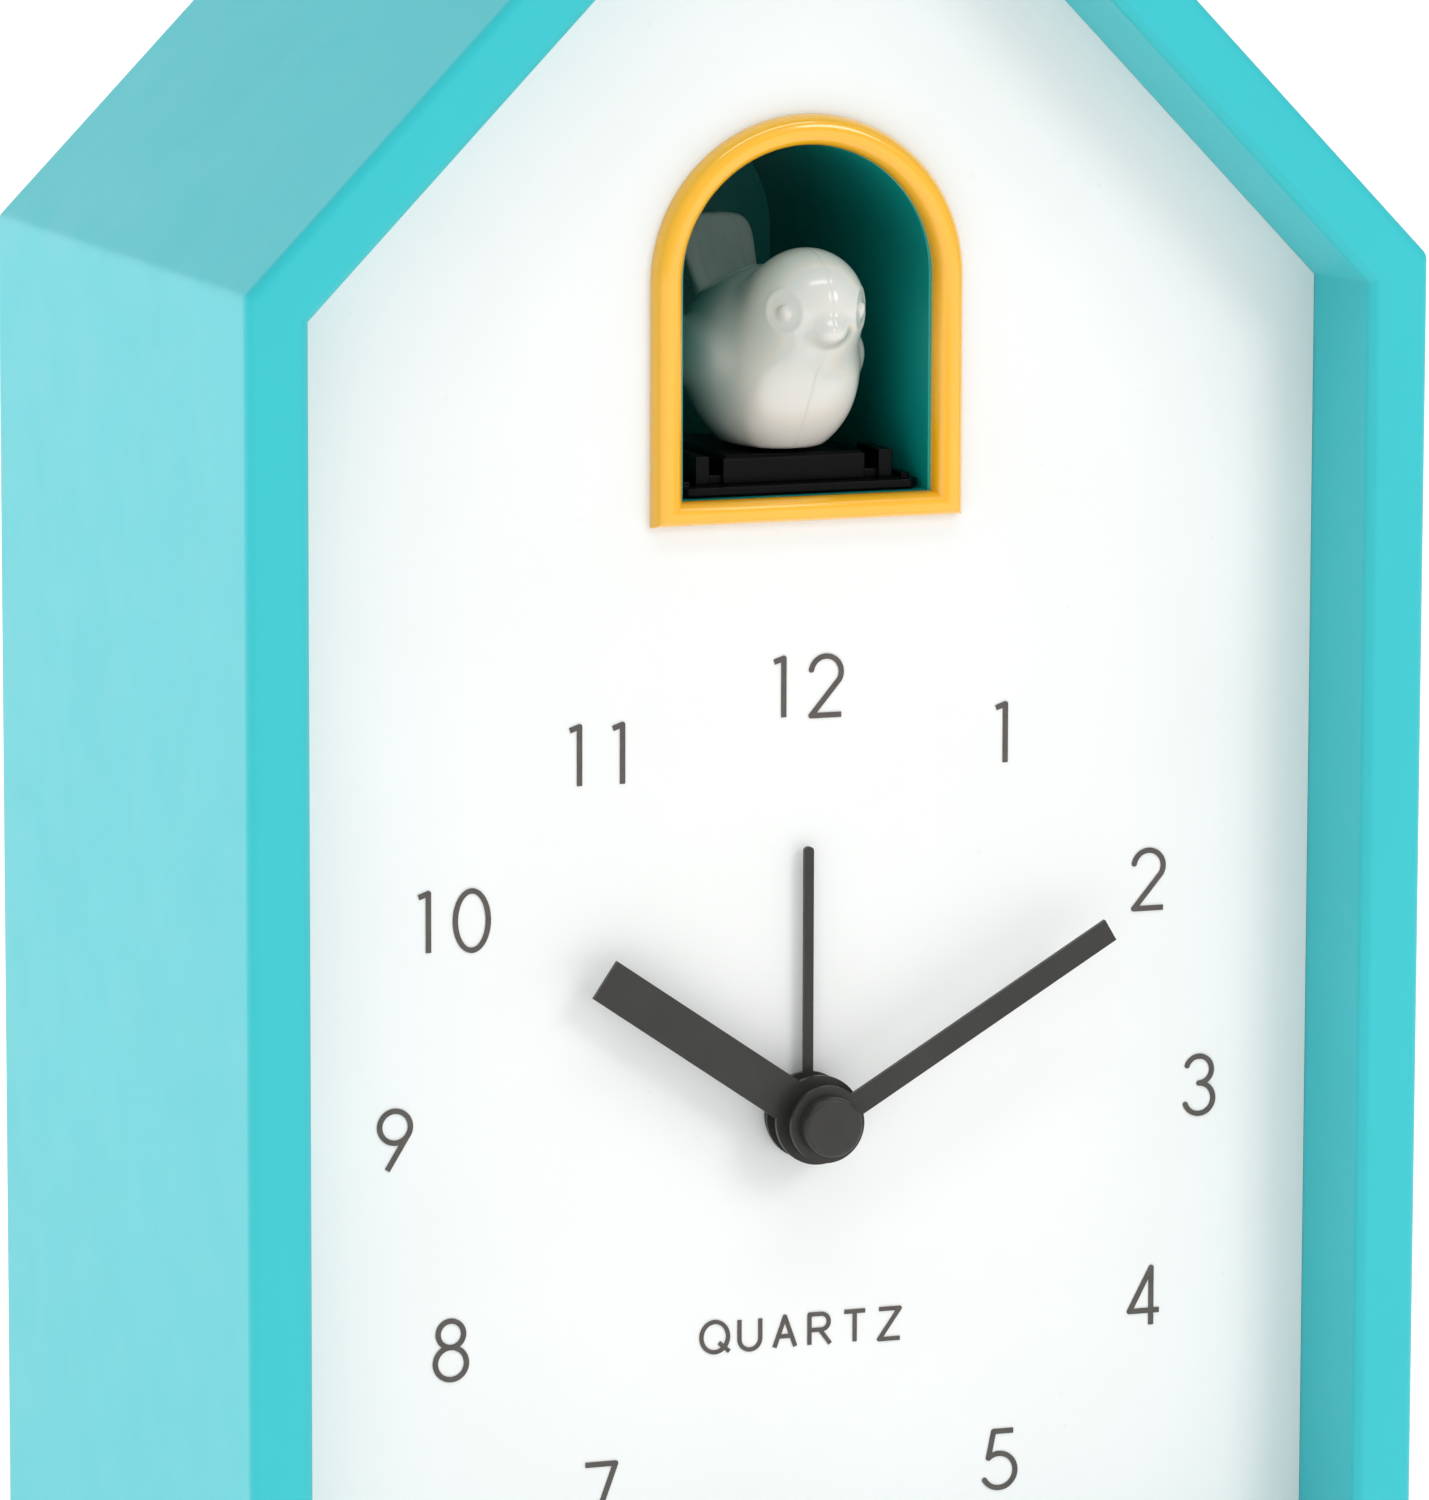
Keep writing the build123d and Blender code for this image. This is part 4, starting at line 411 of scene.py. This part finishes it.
def coil_wire():
    """Enamelled copper wire wound round a bobbin that lies along X, with painted shade darkening the grooves
    between turns.
    """
    material, shader = blank("coil_copper", 0.28, metallic=1.0, coat=0.4)
    turns = add_node(
        material,
        "ShaderNodeTexWave",
        {"wave_type": "BANDS", "bands_direction": "X"},
        {"Scale": 1100.0, "Distortion": 0.6},
    )
    join(material, place(material), turns.inputs["Vector"])
    # The dark end of the ramp is painted shade in the grooves between turns; the bright end is the copper.
    tone = ramp(material, turns.outputs["Fac"], [(0.0, (0.19, 0.06, 0.02)), (0.5, (0.72, 0.27, 0.11))])
    join(material, tone, shader.inputs["Base Color"])
    relief(material, shader, [(turns.outputs["Fac"], 0.00012)])
    return material


def cell_label():
    """Printed sleeve of an AA cell that lies along X: a gold end, a dark body and pale rings between them."""
    material, shader = blank("cell_sleeve", 0.26, metallic=0.35, coat=0.5)
    low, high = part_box("battery_cells")
    along = add_node(material, "ShaderNodeSeparateXYZ")
    span = high[0] - low[0]
    join(material, place(material, (1 / span,) * 3, (low[0], 0, 0)), along.inputs["Vector"])
    bands = [
        (0.0, (0.55, 0.56, 0.58)),
        (0.04, (0.012, 0.012, 0.014)),
        (0.70, (0.75, 0.75, 0.72)),
        (0.715, (0.68, 0.34, 0.08)),
        (0.945, (0.75, 0.75, 0.72)),
        (0.96, (0.55, 0.56, 0.58)),
    ]
    tone = ramp(material, along.outputs["X"], bands, "CONSTANT")
    join(material, tone, shader.inputs["Base Color"])
    join(material, spread(material, cloud(material, 0.003, 4.0), 0.2, 0.34), shader.inputs["Roughness"])
    relief(material, shader, [(cloud(material, 0.0015, 3.0), 0.00001)])
    return material


def paper_cone():
    """Pressed paper pulp: short dark fibres and a felted surface."""
    material, shader = blank("cone_paper", 0.9)
    fibres = cloud(material, 0.0012, 6.0, 0.7, stretch=(1.0, 1.0, 0.3))
    tone = ramp(material, fibres, [(0.25, (0.016, 0.015, 0.014)), (0.75, (0.07, 0.066, 0.06))])
    join(material, tone, shader.inputs["Base Color"])
    relief(material, shader, [(fibres, 0.00006)])
    return material


def rubber():
    """Dark rubber with talc bloom in patches."""
    material, shader = blank("foot_rubber", 0.82)
    bloom = cloud(material, 0.002, 6.0, 0.65)
    tone = ramp(material, bloom, [(0.4, (0.012, 0.012, 0.012)), (0.8, (0.05, 0.05, 0.048))])
    join(material, tone, shader.inputs["Base Color"])
    relief(material, shader, [(cloud(material, 0.0003, 3.0), 0.00003)])
    return material


def ferrite():
    """Sintered magnet: near-black, with brighter crystal specks painted in as glints."""
    material, shader = blank("magnet_ferrite", 0.5, metallic=0.35)
    crystals = add_node(material, "ShaderNodeTexVoronoi", {"feature": "F1"}, {"Scale": 2600.0})
    join(material, place(material), crystals.inputs["Vector"])
    # Brighter colour at each crystal centre: painted glints.
    painted_glints = [(0.0, (0.1, 0.1, 0.105)), (0.3, (0.018, 0.018, 0.02))]
    tone = ramp(material, crystals.outputs["Distance"], painted_glints)
    join(material, tone, shader.inputs["Base Color"])
    relief(material, shader, [(crystals.outputs["Distance"], 0.00003)])
    return material


def studio_sheet():
    """Pale seamless paper with a faint tooth."""
    base = tuple(colours().floor)
    material, shader = blank("studio_paper", 0.85)
    shader.inputs["Emission Color"].default_value = (1.0, 1.0, 1.0, 1.0)
    shader.inputs["Emission Strength"].default_value = bpy.context.scene.clock_studio.paper
    tone = ramp(material, cloud(material, 0.12, 4.0), [(0.3, shaded(base, 0.985)), (0.7, base)])
    join(material, tone, shader.inputs["Base Color"])
    relief(material, shader, [(cloud(material, 0.0015, 3.0), 0.00002)])
    return material


def give(material, *names):
    """Puts one finish on CAD nodes."""
    for name in names:
        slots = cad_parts[name].material_slots
        if not slots:
            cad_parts[name].data.materials.append(material)
        for slot in slots:
            slot.material = material


# ------------------------------------------------------------------ surfaces


def grid_faces(rows, columns, loop_rows=False):
    """Quads of a grid whose columns close on themselves, and whose rows do too if asked."""
    last = rows if loop_rows else rows - 1
    row = np.arange(last)[:, None]
    column = np.arange(columns)[None, :]
    after = (row + 1) % rows
    beside = (column + 1) % columns
    here = row * columns
    above = after * columns
    corners = (here + column, here + beside, above + beside, above + column)
    return np.stack(corners, axis=-1).reshape(-1, 4)


def fan(ring, pole, flip):
    """Triangles from a ring of vertex numbers to one pole."""
    beside = np.roll(ring, -1)
    corners = (beside, ring, np.full_like(ring, pole)) if flip else (ring, beside, np.full_like(ring, pole))
    return np.stack(corners, axis=-1)


def surface(name, grid, poles=None, loop_rows=False, sharp=35.0):
    """Closed mesh of a grid of points in metres; poles are the two points that close a tube-like grid.

    Six times the signed volume is the sum over triangles of a . (b x c). The faces are turned when it is
    negative.
    """
    rows, columns, _ = grid.shape
    points = grid.reshape(-1, 3)
    quads = grid_faces(rows, columns, loop_rows)
    triangles = np.empty((0, 3), int)
    if poles is not None:
        points = np.vstack((points, poles))
        first = fan(np.arange(columns), rows * columns, True)
        final = fan(np.arange(columns) + (rows - 1) * columns, rows * columns + 1, False)
        triangles = np.vstack((first, final))
    split = np.vstack((quads[:, [0, 1, 2]], quads[:, [0, 2, 3]], triangles))
    corner = points[split]
    volume = np.einsum("ij,ij->", corner[:, 0], np.cross(corner[:, 1], corner[:, 2]))
    if volume < 0:
        quads = quads[:, ::-1]
        triangles = triangles[:, ::-1]
    mesh = bpy.data.meshes.new(name)
    mesh.from_pydata(points.tolist(), [], quads.tolist() + triangles.tolist())
    mesh.polygons.foreach_set("use_smooth", [True] * len(mesh.polygons))
    mesh.set_sharp_from_angle(angle=math.radians(sharp))
    piece = bpy.data.objects.new(name, mesh)
    bpy.context.scene.collection.objects.link(piece)
    return piece


def finish_piece(piece, material, body, slot, *nodes):
    """Gives a new piece its finish, its body and the CAD nodes it stands for."""
    piece.data.materials.append(material)
    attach(piece, body)
    if nodes:
        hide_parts(*nodes)


def superellipse(angle, power):
    """Point on a unit superellipse: sign(cos) |cos| ** (2 / power), and the same with the sine."""
    across = np.sign(np.cos(angle)) * np.abs(np.cos(angle)) ** (2 / power)
    up = np.sign(np.sin(angle)) * np.abs(np.sin(angle)) ** (2 / power)
    return across, up


def arch_path(half_width, bottom, top, steps):
    """Arch outline from the lower left: up a leg, half a circle over the top, and down the other leg."""
    turn = np.linspace(np.pi, 0.0, steps)
    spring = top - half_width
    x = np.concatenate(([-half_width], half_width * np.cos(turn), [half_width]))
    z = np.concatenate(([bottom], spring + half_width * np.sin(turn), [bottom]))
    return x, z


def make_bezel_grid(crown):
    """Arch frame: a crowned bar carried round the arch.

    Each station has an inner and an outer point, mitred at the lower corners. Across the bar, the point is
    inner + (outer - inner) * share, and it stands proud of the dial by the height of a superellipse.
    """
    low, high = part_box("arch_bezel")
    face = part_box("dial_panel")[0][1]
    outer_half = (high[0] - low[0]) / 2
    bar = ARCH_BAR * MM
    sill = ARCH_SILL * MM
    tuck = ARCH_TUCK * MM
    inner_x, inner_z = arch_path(outer_half - bar, low[2] + sill, high[2] - bar, ARCH_STEPS)
    outer_x, outer_z = arch_path(outer_half, low[2], high[2], ARCH_STEPS)
    angle = np.linspace(0.0, np.pi, 33)
    across, height = superellipse(angle, crown)
    share = np.concatenate(((1 - across) / 2, [1.0, 0.0]))
    proud = face - low[1]
    depth = np.concatenate((face - proud * np.abs(height), [face + tuck, face + tuck]))
    x = inner_x[:, None] + (outer_x - inner_x)[:, None] * share[None, :]
    z = inner_z[:, None] + (outer_z - inner_z)[:, None] * share[None, :]
    y = np.broadcast_to(depth[None, :], x.shape)
    return np.stack((x, y, z), axis=-1)


def egg(points, centre, half):
    """Rough distance to an egg.

    It is the length of the offset measured in half sizes, less one, times the least half size.
    """
    offset = (points - np.array(centre)) / np.array(half)
    return (np.sqrt((offset**2).sum(axis=-1)) - 1.0) * min(half)


def soft_least(first, second, width):
    """Least of two fields, rounded where they meet.

    It is least - h * h * width / 4, where h = max(width - |difference|, 0) / width.
    """
    h = np.maximum(width - np.abs(first - second), 0.0) / width
    return np.minimum(first, second) - h * h * width / 4


def bird_field(points, mirror_x):
    """Field of the bird in millimetres, below zero inside.

    Head, trunk, beak and wings are joined softly, with a sloping breast and a flat base.
    """
    size = sizes()
    face, hub = DIAL_FACE, HUB
    body = egg(points, (0, face + 11.5, hub + 84.2), (9.2, 14.4, 11.0))
    breast = egg(points, (0, face + 4.6, hub + 85.2), (7.0, 8.3, 10.2))
    rump = egg(points, (0, face + 19.0, hub + 84.6), (7.4, 11.5, 7.9))
    trunk = soft_least(soft_least(body, breast, 1.6), rump, 2.4)
    slope = -0.806 * (points[..., 1] - face + 4.4) - 0.592 * (points[..., 2] - hub - 85.2)
    trunk = -soft_least(-trunk, -slope, 2.4)
    head = egg(points, (0, face - 0.7, hub + 91.9), (6.1, 7.5, 6.3))
    shape = soft_least(head, trunk, size.neck / MM)
    beak = egg(points, (0, face - 7.3, hub + 89.55), (1.75, 2.0, 1.35))
    shape = soft_least(shape, beak, 1.3)
    wing = egg(mirror_x, (8.3, face + 14.5, hub + 85.4), (2.1, 9.8, 3.9))
    shape = soft_least(shape, wing, size.wing_blend / MM)
    base = BIRD_BASE - points[..., 2]
    return -soft_least(-shape, -base, 0.6)


def make_bird_grid(columns, rows):
    """Bird skin: from a point inside, the reach of the skin along each ray is found by halving an interval.

    Rays crowd towards the mid plane, with azimuth = 2 pi u - 0.42 sin(4 pi u), so that the seam is cut
    cleanly.
    The eyes are shallow oval dishes with a rim and a bead, and the seam is a narrow groove in the mid plane.
    """
    size = sizes()
    centre = np.array((0.0, DIAL_FACE + 5.0, HUB + 84.3))
    u = np.arange(columns) / columns
    azimuth = 2 * np.pi * u - 0.42 * np.sin(4 * np.pi * u)
    polar = np.linspace(0.0, np.pi, rows + 2)[1:-1]
    flat = np.sin(polar)[:, None]
    ray = np.stack(
        (
            flat * np.sin(azimuth)[None, :],
            -flat * np.cos(azimuth)[None, :],
            np.broadcast_to(np.cos(polar)[:, None], (rows, columns)),
        ),
        axis=-1,
    )
    ends = np.array([(0.0, 0.0, 1.0), (0.0, 0.0, -1.0)])
    rays = np.vstack((ray.reshape(-1, 3), ends))
    near = np.zeros(len(rays))
    far = np.full(len(rays), BIRD_REACH)
    for _ in range(36):
        middle = (near + far) / 2
        points = centre + rays * middle[:, None]
        inside = bird_field(points, np.abs(points) * (1, 0, 0) + points * (0, 1, 1)) < 0
        near = np.where(inside, middle, near)
        far = np.where(inside, far, middle)
    points = centre + rays * near[:, None]
    groove = size.seam / MM * np.exp(-((points[:, 0] / SEAM_WIDTH) ** 2))
    change = eye_relief(points) - groove * (points[:, 2] > BIRD_BASE + 0.3)
    points = points + rays * change[:, None]
    points *= MM
    return points[:-2].reshape(rows, columns, 3), points[-2:]


def eye_relief(points):
    """Height of the eye detail: a dish inside the oval, a rim on it, and a bead in the middle."""
    facing = math.radians(47.0)
    eye = np.array((4.6, DIAL_FACE - 5.1, HUB + 91.65))
    side = np.stack((np.abs(points[:, 0]), points[:, 1], points[:, 2]), axis=-1) - eye
    across = side[:, 0] * math.cos(facing) + side[:, 1] * math.sin(facing)
    outward = side[:, 0] * math.sin(facing) - side[:, 1] * math.cos(facing)
    oval = np.sqrt((across / 2.4) ** 2 + (side[:, 2] / 2.3) ** 2)
    bead = np.sqrt(np.maximum(1.0 - (across**2 + side[:, 2] ** 2) / 0.81, 0.0))
    dish = -sizes().eye_dish / MM * np.clip(1.0 - oval**2, 0.0, 1.0) ** 0.7
    rim = 0.1 * np.exp(-(((oval - 1.05) / 0.14) ** 2))
    return np.where(outward > -3.0, dish + rim + 0.55 * bead, 0.0)


def make_tail_grid():
    """Tail fan: a flat superellipse carried up a bent spine, wider towards its rounded end.

    The spine is the quadratic blend of three points. The end rounds off as the fourth root of one less the
    fourth power, and four creases part the feathers.
    """
    rows, columns = 60, 120
    t = np.linspace(0.0, 1.0, rows)[:, None]
    start = np.array((DIAL_FACE + 18.0, HUB + 86.0))
    bend = np.array((DIAL_FACE + 25.6, HUB + 89.0))
    end = np.array((DIAL_FACE + 30.0, HUB + 99.4))
    spine = (1 - t) ** 2 * start + 2 * t * (1 - t) * bend + t**2 * end
    ahead = 2 * (1 - t) * (bend - start) + 2 * t * (end - bend)
    ahead /= np.linalg.norm(ahead, axis=1, keepdims=True)
    over = np.stack((-ahead[:, 1], ahead[:, 0]), axis=-1)
    finish_share = np.clip((t[:, 0] - 0.72) / 0.28, 0.0, 0.998)
    closing = (1 - finish_share**4) ** 0.25
    half_width = (3.1 + 1.6 * t[:, 0]) * closing
    half_thick = (1.9 - 1.1 * t[:, 0]) * closing
    angle = np.linspace(0.0, 2 * np.pi, columns, endpoint=False)
    across, up = superellipse(angle, 3.0)
    crease = sum(np.exp(-(((across - mark) / 0.035) ** 2)) for mark in (-0.62, -0.21, 0.21, 0.62))
    thick = half_thick[:, None] * up[None, :] * (1 - 0.16 * crease[None, :])
    x = half_width[:, None] * across[None, :]
    y = spine[:, 0, None] + over[:, 0, None] * thick
    z = spine[:, 1, None] + over[:, 1, None] * thick
    grid = np.stack((x, y, z), axis=-1) * MM
    return grid, np.array([(0, *spine[0]), (0, *spine[-1])]) * MM


def backdrop_grid(half_width, near, far, rise):
    """Seamless paper: flat floor, a quarter turn and a wall, swept across the room."""
    radius = PAPER_RADIUS
    turn = np.linspace(0.0, np.pi / 2, 24)
    y = np.concatenate(([near], far - radius + radius * np.sin(turn), [far]))
    z = np.concatenate(([0.0], radius - radius * np.cos(turn), [rise]))
    x = np.array((-half_width, half_width))
    return np.stack(np.broadcast_arrays(x[None, :], y[:, None], z[:, None]), axis=-1)


DIAL_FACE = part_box("dial_panel")[0][1] / MM
HUB = (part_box("hand_cap")[0][2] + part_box("hand_cap")[1][2]) / 2 / MM
BIRD_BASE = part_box("bird_left")[0][2] / MM

# arch frame, in millimetres: width of the bar, height of the sill, and how far its back sits in the dial
ARCH_BAR = 3.5
ARCH_SILL = 2.8
ARCH_TUCK = 0.2
ARCH_STEPS = 90

# bird, in millimetres: longest ray tried from its middle, and width of the moulding seam
BIRD_REACH = 40.0
SEAM_WIDTH = 0.14

# studio, in metres
PAPER_RADIUS = 0.5
CLOCK_MIDDLE = (0.0, 0.0, 0.12)
KEY_PLACE = (1.6, -2.9, 1.8)
SIDE_PLACE = (-2.4, 0.6, 0.6)
TOP_PLACE = (0.0, -1.3, 2.6)
CAMERA_PLACE = (-0.3758, -1.0073, 0.2781)


# ------------------------------------------------------------------ operators


class CLOCK_OT_case(bpy.types.Operator):
    """Finish the house shell, its back cover, battery door and feet"""

    bl_idname = "clock.case"
    bl_label = "Case"

    def execute(self, context):
        give(case_plastic(), "house_shell", "back_cover", "battery_door")
        give(rubber(), "rubber_feet")
        return {"FINISHED"}


class CLOCK_OT_dial(bpy.types.Operator):
    """Finish the dial panel, its print and the hands"""

    bl_idname = "clock.dial"
    bl_label = "Dial and hands"

    def execute(self, context):
        give(dial_lacquer(), "dial_panel")
        give(printed_ink(), "numerals")
        give(hand_lacquer(), "alarm_hand", "hour_hand", "minute_hand", "hand_cap")
        return {"FINISHED"}


class CLOCK_OT_bezel(bpy.types.Operator):
    """Make the crowned yellow arch frame and finish the niche behind it"""

    bl_idname = "clock.bezel"
    bl_label = "Arch frame and niche"

    def execute(self, context):
        piece = surface("arch_frame", make_bezel_grid(sizes().bezel_crown), loop_rows=True, sharp=40.0)
        finish_piece(piece, bezel_plastic(), "case", "yellow", "arch_bezel")
        give(shaded_niche_plastic(), "niche_tunnel")
        return {"FINISHED"}


class CLOCK_OT_bird(bpy.types.Operator):
    """Make the bird's skin and tail"""

    bl_idname = "clock.bird"
    bl_label = "Bird"

    def execute(self, context):
        white = bird_plastic()
        grid, poles = make_bird_grid(sizes().bird_columns, sizes().bird_rows)
        skin = surface("bird_skin", grid, poles, sharp=60.0)
        finish_piece(skin, white, "bird_carriage", "white", "bird_left", "bird_right")
        grid, poles = make_tail_grid()
        tail = surface("bird_tail", grid, poles, sharp=60.0)
        finish_piece(tail, white, "bird_carriage", "white")
        return {"FINISHED"}


class CLOCK_OT_drive(bpy.types.Operator):
    """Finish the bird carriage and the motor drive under the niche"""

    bl_idname = "clock.drive"
    bl_label = "Carriage and drive"

    def execute(self, context):
        black = moulded(
            "black_plastic", tuple(colours().black), 0.32, 0.12, depth=0.000006, easing=0.00025, ior=1.2
        )
        give(black, "carriage_plate", "carriage_block", "carriage_rack", "drive_bracket", "limit_switch")
        give(moulded("nylon_wheels", tuple(colours().nylon), 0.42, 0.04), "slow_gear", "fast_gear")
        give(metal("turned_brass", (0.72, 0.5, 0.2), 0.26, (1, 0.05, 1)), "motor_pinion")
        give(metal("bright_zinc", (0.62, 0.63, 0.66), 0.34), "motor_can")
        give(metal("drawn_steel", (0.56, 0.57, 0.58), 0.24, (0.05, 1, 1)), "motor_shaft", "drive_pins")
        return {"FINISHED"}


class CLOCK_OT_movement(bpy.types.Operator):
    """Finish the quartz movement, its wheels, shafts, coil, magnets and setting knobs"""

    bl_idname = "clock.movement"
    bl_label = "Movement"

    def execute(self, context):
        dark = moulded("movement_plastic", tuple(colours().movement), 0.5, 0.1)
        give(dark, "movement_front", "movement_rear", "movement_plate", "time_knob", "alarm_knob")
        motion_work = ("hour_wheel", "minute_wheel", "alarm_wheel")
        going_train = ("centre_wheel", "third_wheel", "fourth_wheel", "step_wheel", "rotor_pinion")
        give(moulded("movement_nylon", tuple(colours().nylon), 0.45, 0.05), *motion_work, *going_train)
        give(metal("arbor_brass", (0.72, 0.5, 0.2), 0.22, (1, 0.05, 1)), "minute_arbor")
        give(metal("shaft_steel", (0.56, 0.57, 0.58), 0.24, (1, 0.05, 1)), "time_shaft", "alarm_shaft")
        give(metal("stator_iron", (0.5, 0.5, 0.51), 0.36, (0.1, 1, 1)), "stator")
        give(ferrite(), "rotor_magnet", "speaker_magnet")
        give(coil_wire(), "coil")
        return {"FINISHED"}


class CLOCK_OT_sound(bpy.types.Operator):
    """Finish the speaker, boards, switches, cells, contacts and screws"""

    bl_idname = "clock.sound"
    bl_label = "Sound, power and screws"

    def execute(self, context):
        give(circuit_board(), "sound_board", "movement_board")
        give(moulded("chip_epoxy", (0.014, 0.014, 0.015), 0.46, 0.15, texture=0.00025), "board_chips")
        give(paper_cone(), "speaker_cone")
        give(metal("speaker_zinc", (0.6, 0.61, 0.63), 0.38), "speaker_frame")
        give(cell_label(), "battery_cells")
        give(metal("contact_steel", (0.66, 0.66, 0.66), 0.2, (1, 1, 0.1)), "battery_contacts")
        black = moulded("switch_plastic", tuple(colours().black), 0.4, 0.12)
        give(black, "switch_bodies", "alarm_slider", "sound_slider", "call_button")
        screws = metal("screw_zinc", (0.64, 0.65, 0.67), 0.27, (1, 0.1, 1))
        give(screws, "cover_screws", "dial_screws", "small_screws", "movement_screws")
        return {"FINISHED"}


class CLOCK_OT_studio(bpy.types.Operator):
    """Lay the pale backdrop and set the lights and the camera"""

    bl_idname = "clock.studio"
    bl_label = "Studio"

    def execute(self, context):
        scene = context.scene
        studio = scene.clock_studio
        scene.view_settings.view_transform = "Standard"
        make_backdrop()
        make_room(scene, studio.room)
        middle = np.array(CLOCK_MIDDLE)
        add_light("key_light", KEY_PLACE, middle, (1.1, 1.1), studio.key)
        add_light("side_light", SIDE_PLACE, middle, (1.8, 1.4), studio.side)
        add_light("top_light", TOP_PLACE, middle, (2.2, 0.4), studio.top)
        add_camera(scene, studio)
        return {"FINISHED"}


def make_backdrop():
    """Seamless paper behind and under the clock."""
    grid = backdrop_grid(half_width=3.0, near=-2.5, far=2.2, rise=0.75)
    rows = grid.shape[0]
    row = np.arange(rows - 1)
    faces = np.stack((row * 2, row * 2 + 1, row * 2 + 3, row * 2 + 2), axis=-1)
    mesh = bpy.data.meshes.new("studio_sheet")
    mesh.from_pydata(grid.reshape(-1, 3).tolist(), [], faces.tolist())
    mesh.polygons.foreach_set("use_smooth", [True] * len(mesh.polygons))
    mesh.materials.append(studio_sheet())
    sheet = bpy.data.objects.new("studio_sheet", mesh)
    bpy.context.scene.collection.objects.link(sheet)


def make_room(scene, brightness):
    """Even white room light."""
    world = bpy.data.worlds.new("white_room")
    world.use_nodes = True
    background = world.node_tree.nodes["Background"]
    background.inputs["Color"].default_value = (1.0, 1.0, 1.0, 1.0)
    background.inputs["Strength"].default_value = brightness
    scene.world = world


def aim(place, target):
    """Matrix of an object at a place whose -Z points at the target."""
    back = np.array(place, float) - target
    back /= np.linalg.norm(back)
    right = np.cross((0.0, 0.0, 1.0), back)
    right /= np.linalg.norm(right)
    up = np.cross(back, right)
    turn = np.stack((right, up, back), axis=1)
    return Matrix([(*row, part) for row, part in zip(turn, place)] + [(0, 0, 0, 1)])


def add_light(name, place, target, size, power):
    """Large rectangular soft light."""
    data = bpy.data.lights.new(name, "AREA")
    data.shape = "RECTANGLE"
    data.size, data.size_y = size
    data.energy = power
    lamp = bpy.data.objects.new(name, data)
    lamp.matrix_world = aim(place, target)
    bpy.context.scene.collection.objects.link(lamp)


def add_camera(scene, studio):
    """Camera to the left of and above the clock, looking down at it through a long lens."""
    data = bpy.data.cameras.new("camera")
    data.lens = studio.lens
    data.sensor_width = 36.0
    data.sensor_fit = "AUTO"
    camera = bpy.data.objects.new("camera", data)
    turn = Matrix.Rotation(-studio.yaw, 4, "Z") @ Matrix.Rotation(math.radians(90) - studio.pitch, 4, "X")
    roll = Matrix.Rotation(studio.roll, 4, "Z")
    camera.matrix_world = Matrix.Translation(CAMERA_PLACE) @ turn @ roll
    scene.collection.objects.link(camera)
    scene.camera = camera


class CLOCK_PT_panel(bpy.types.Panel):
    """Sidebar panel that lists the clock's steps and settings"""

    bl_label = "Clock"
    bl_idname = "CLOCK_PT_panel"
    bl_space_type = "VIEW_3D"
    bl_region_type = "UI"
    bl_category = "Clock"

    def draw(self, context):
        for step in STEPS:
            self.layout.operator(step.bl_idname)
        for group in (context.scene.clock_colours, context.scene.clock_sizes, context.scene.clock_studio):
            box = self.layout.box()
            for name in group.__annotations__:
                box.prop(group, name)


STEPS = (
    CLOCK_OT_case,
    CLOCK_OT_dial,
    CLOCK_OT_bezel,
    CLOCK_OT_bird,
    CLOCK_OT_drive,
    CLOCK_OT_movement,
    CLOCK_OT_sound,
    CLOCK_OT_studio,
)
CLASSES = (ClockColours, ClockSizes, ClockStudio, *STEPS, CLOCK_PT_panel)


def register():
    for each in CLASSES:
        bpy.utils.register_class(each)
    bpy.types.Scene.clock_colours = PointerProperty(type=ClockColours)
    bpy.types.Scene.clock_sizes = PointerProperty(type=ClockSizes)
    bpy.types.Scene.clock_studio = PointerProperty(type=ClockStudio)


def unregister():
    del bpy.types.Scene.clock_studio
    del bpy.types.Scene.clock_sizes
    del bpy.types.Scene.clock_colours
    for each in reversed(CLASSES):
        bpy.utils.unregister_class(each)


def main():
    """Registers the add-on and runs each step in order."""
    register()
    bpy.ops.clock.case()
    bpy.ops.clock.dial()
    bpy.ops.clock.bezel()
    bpy.ops.clock.bird()
    bpy.ops.clock.drive()
    bpy.ops.clock.movement()
    bpy.ops.clock.sound()
    bpy.ops.clock.studio()


if __name__ == "__main__":
    main()
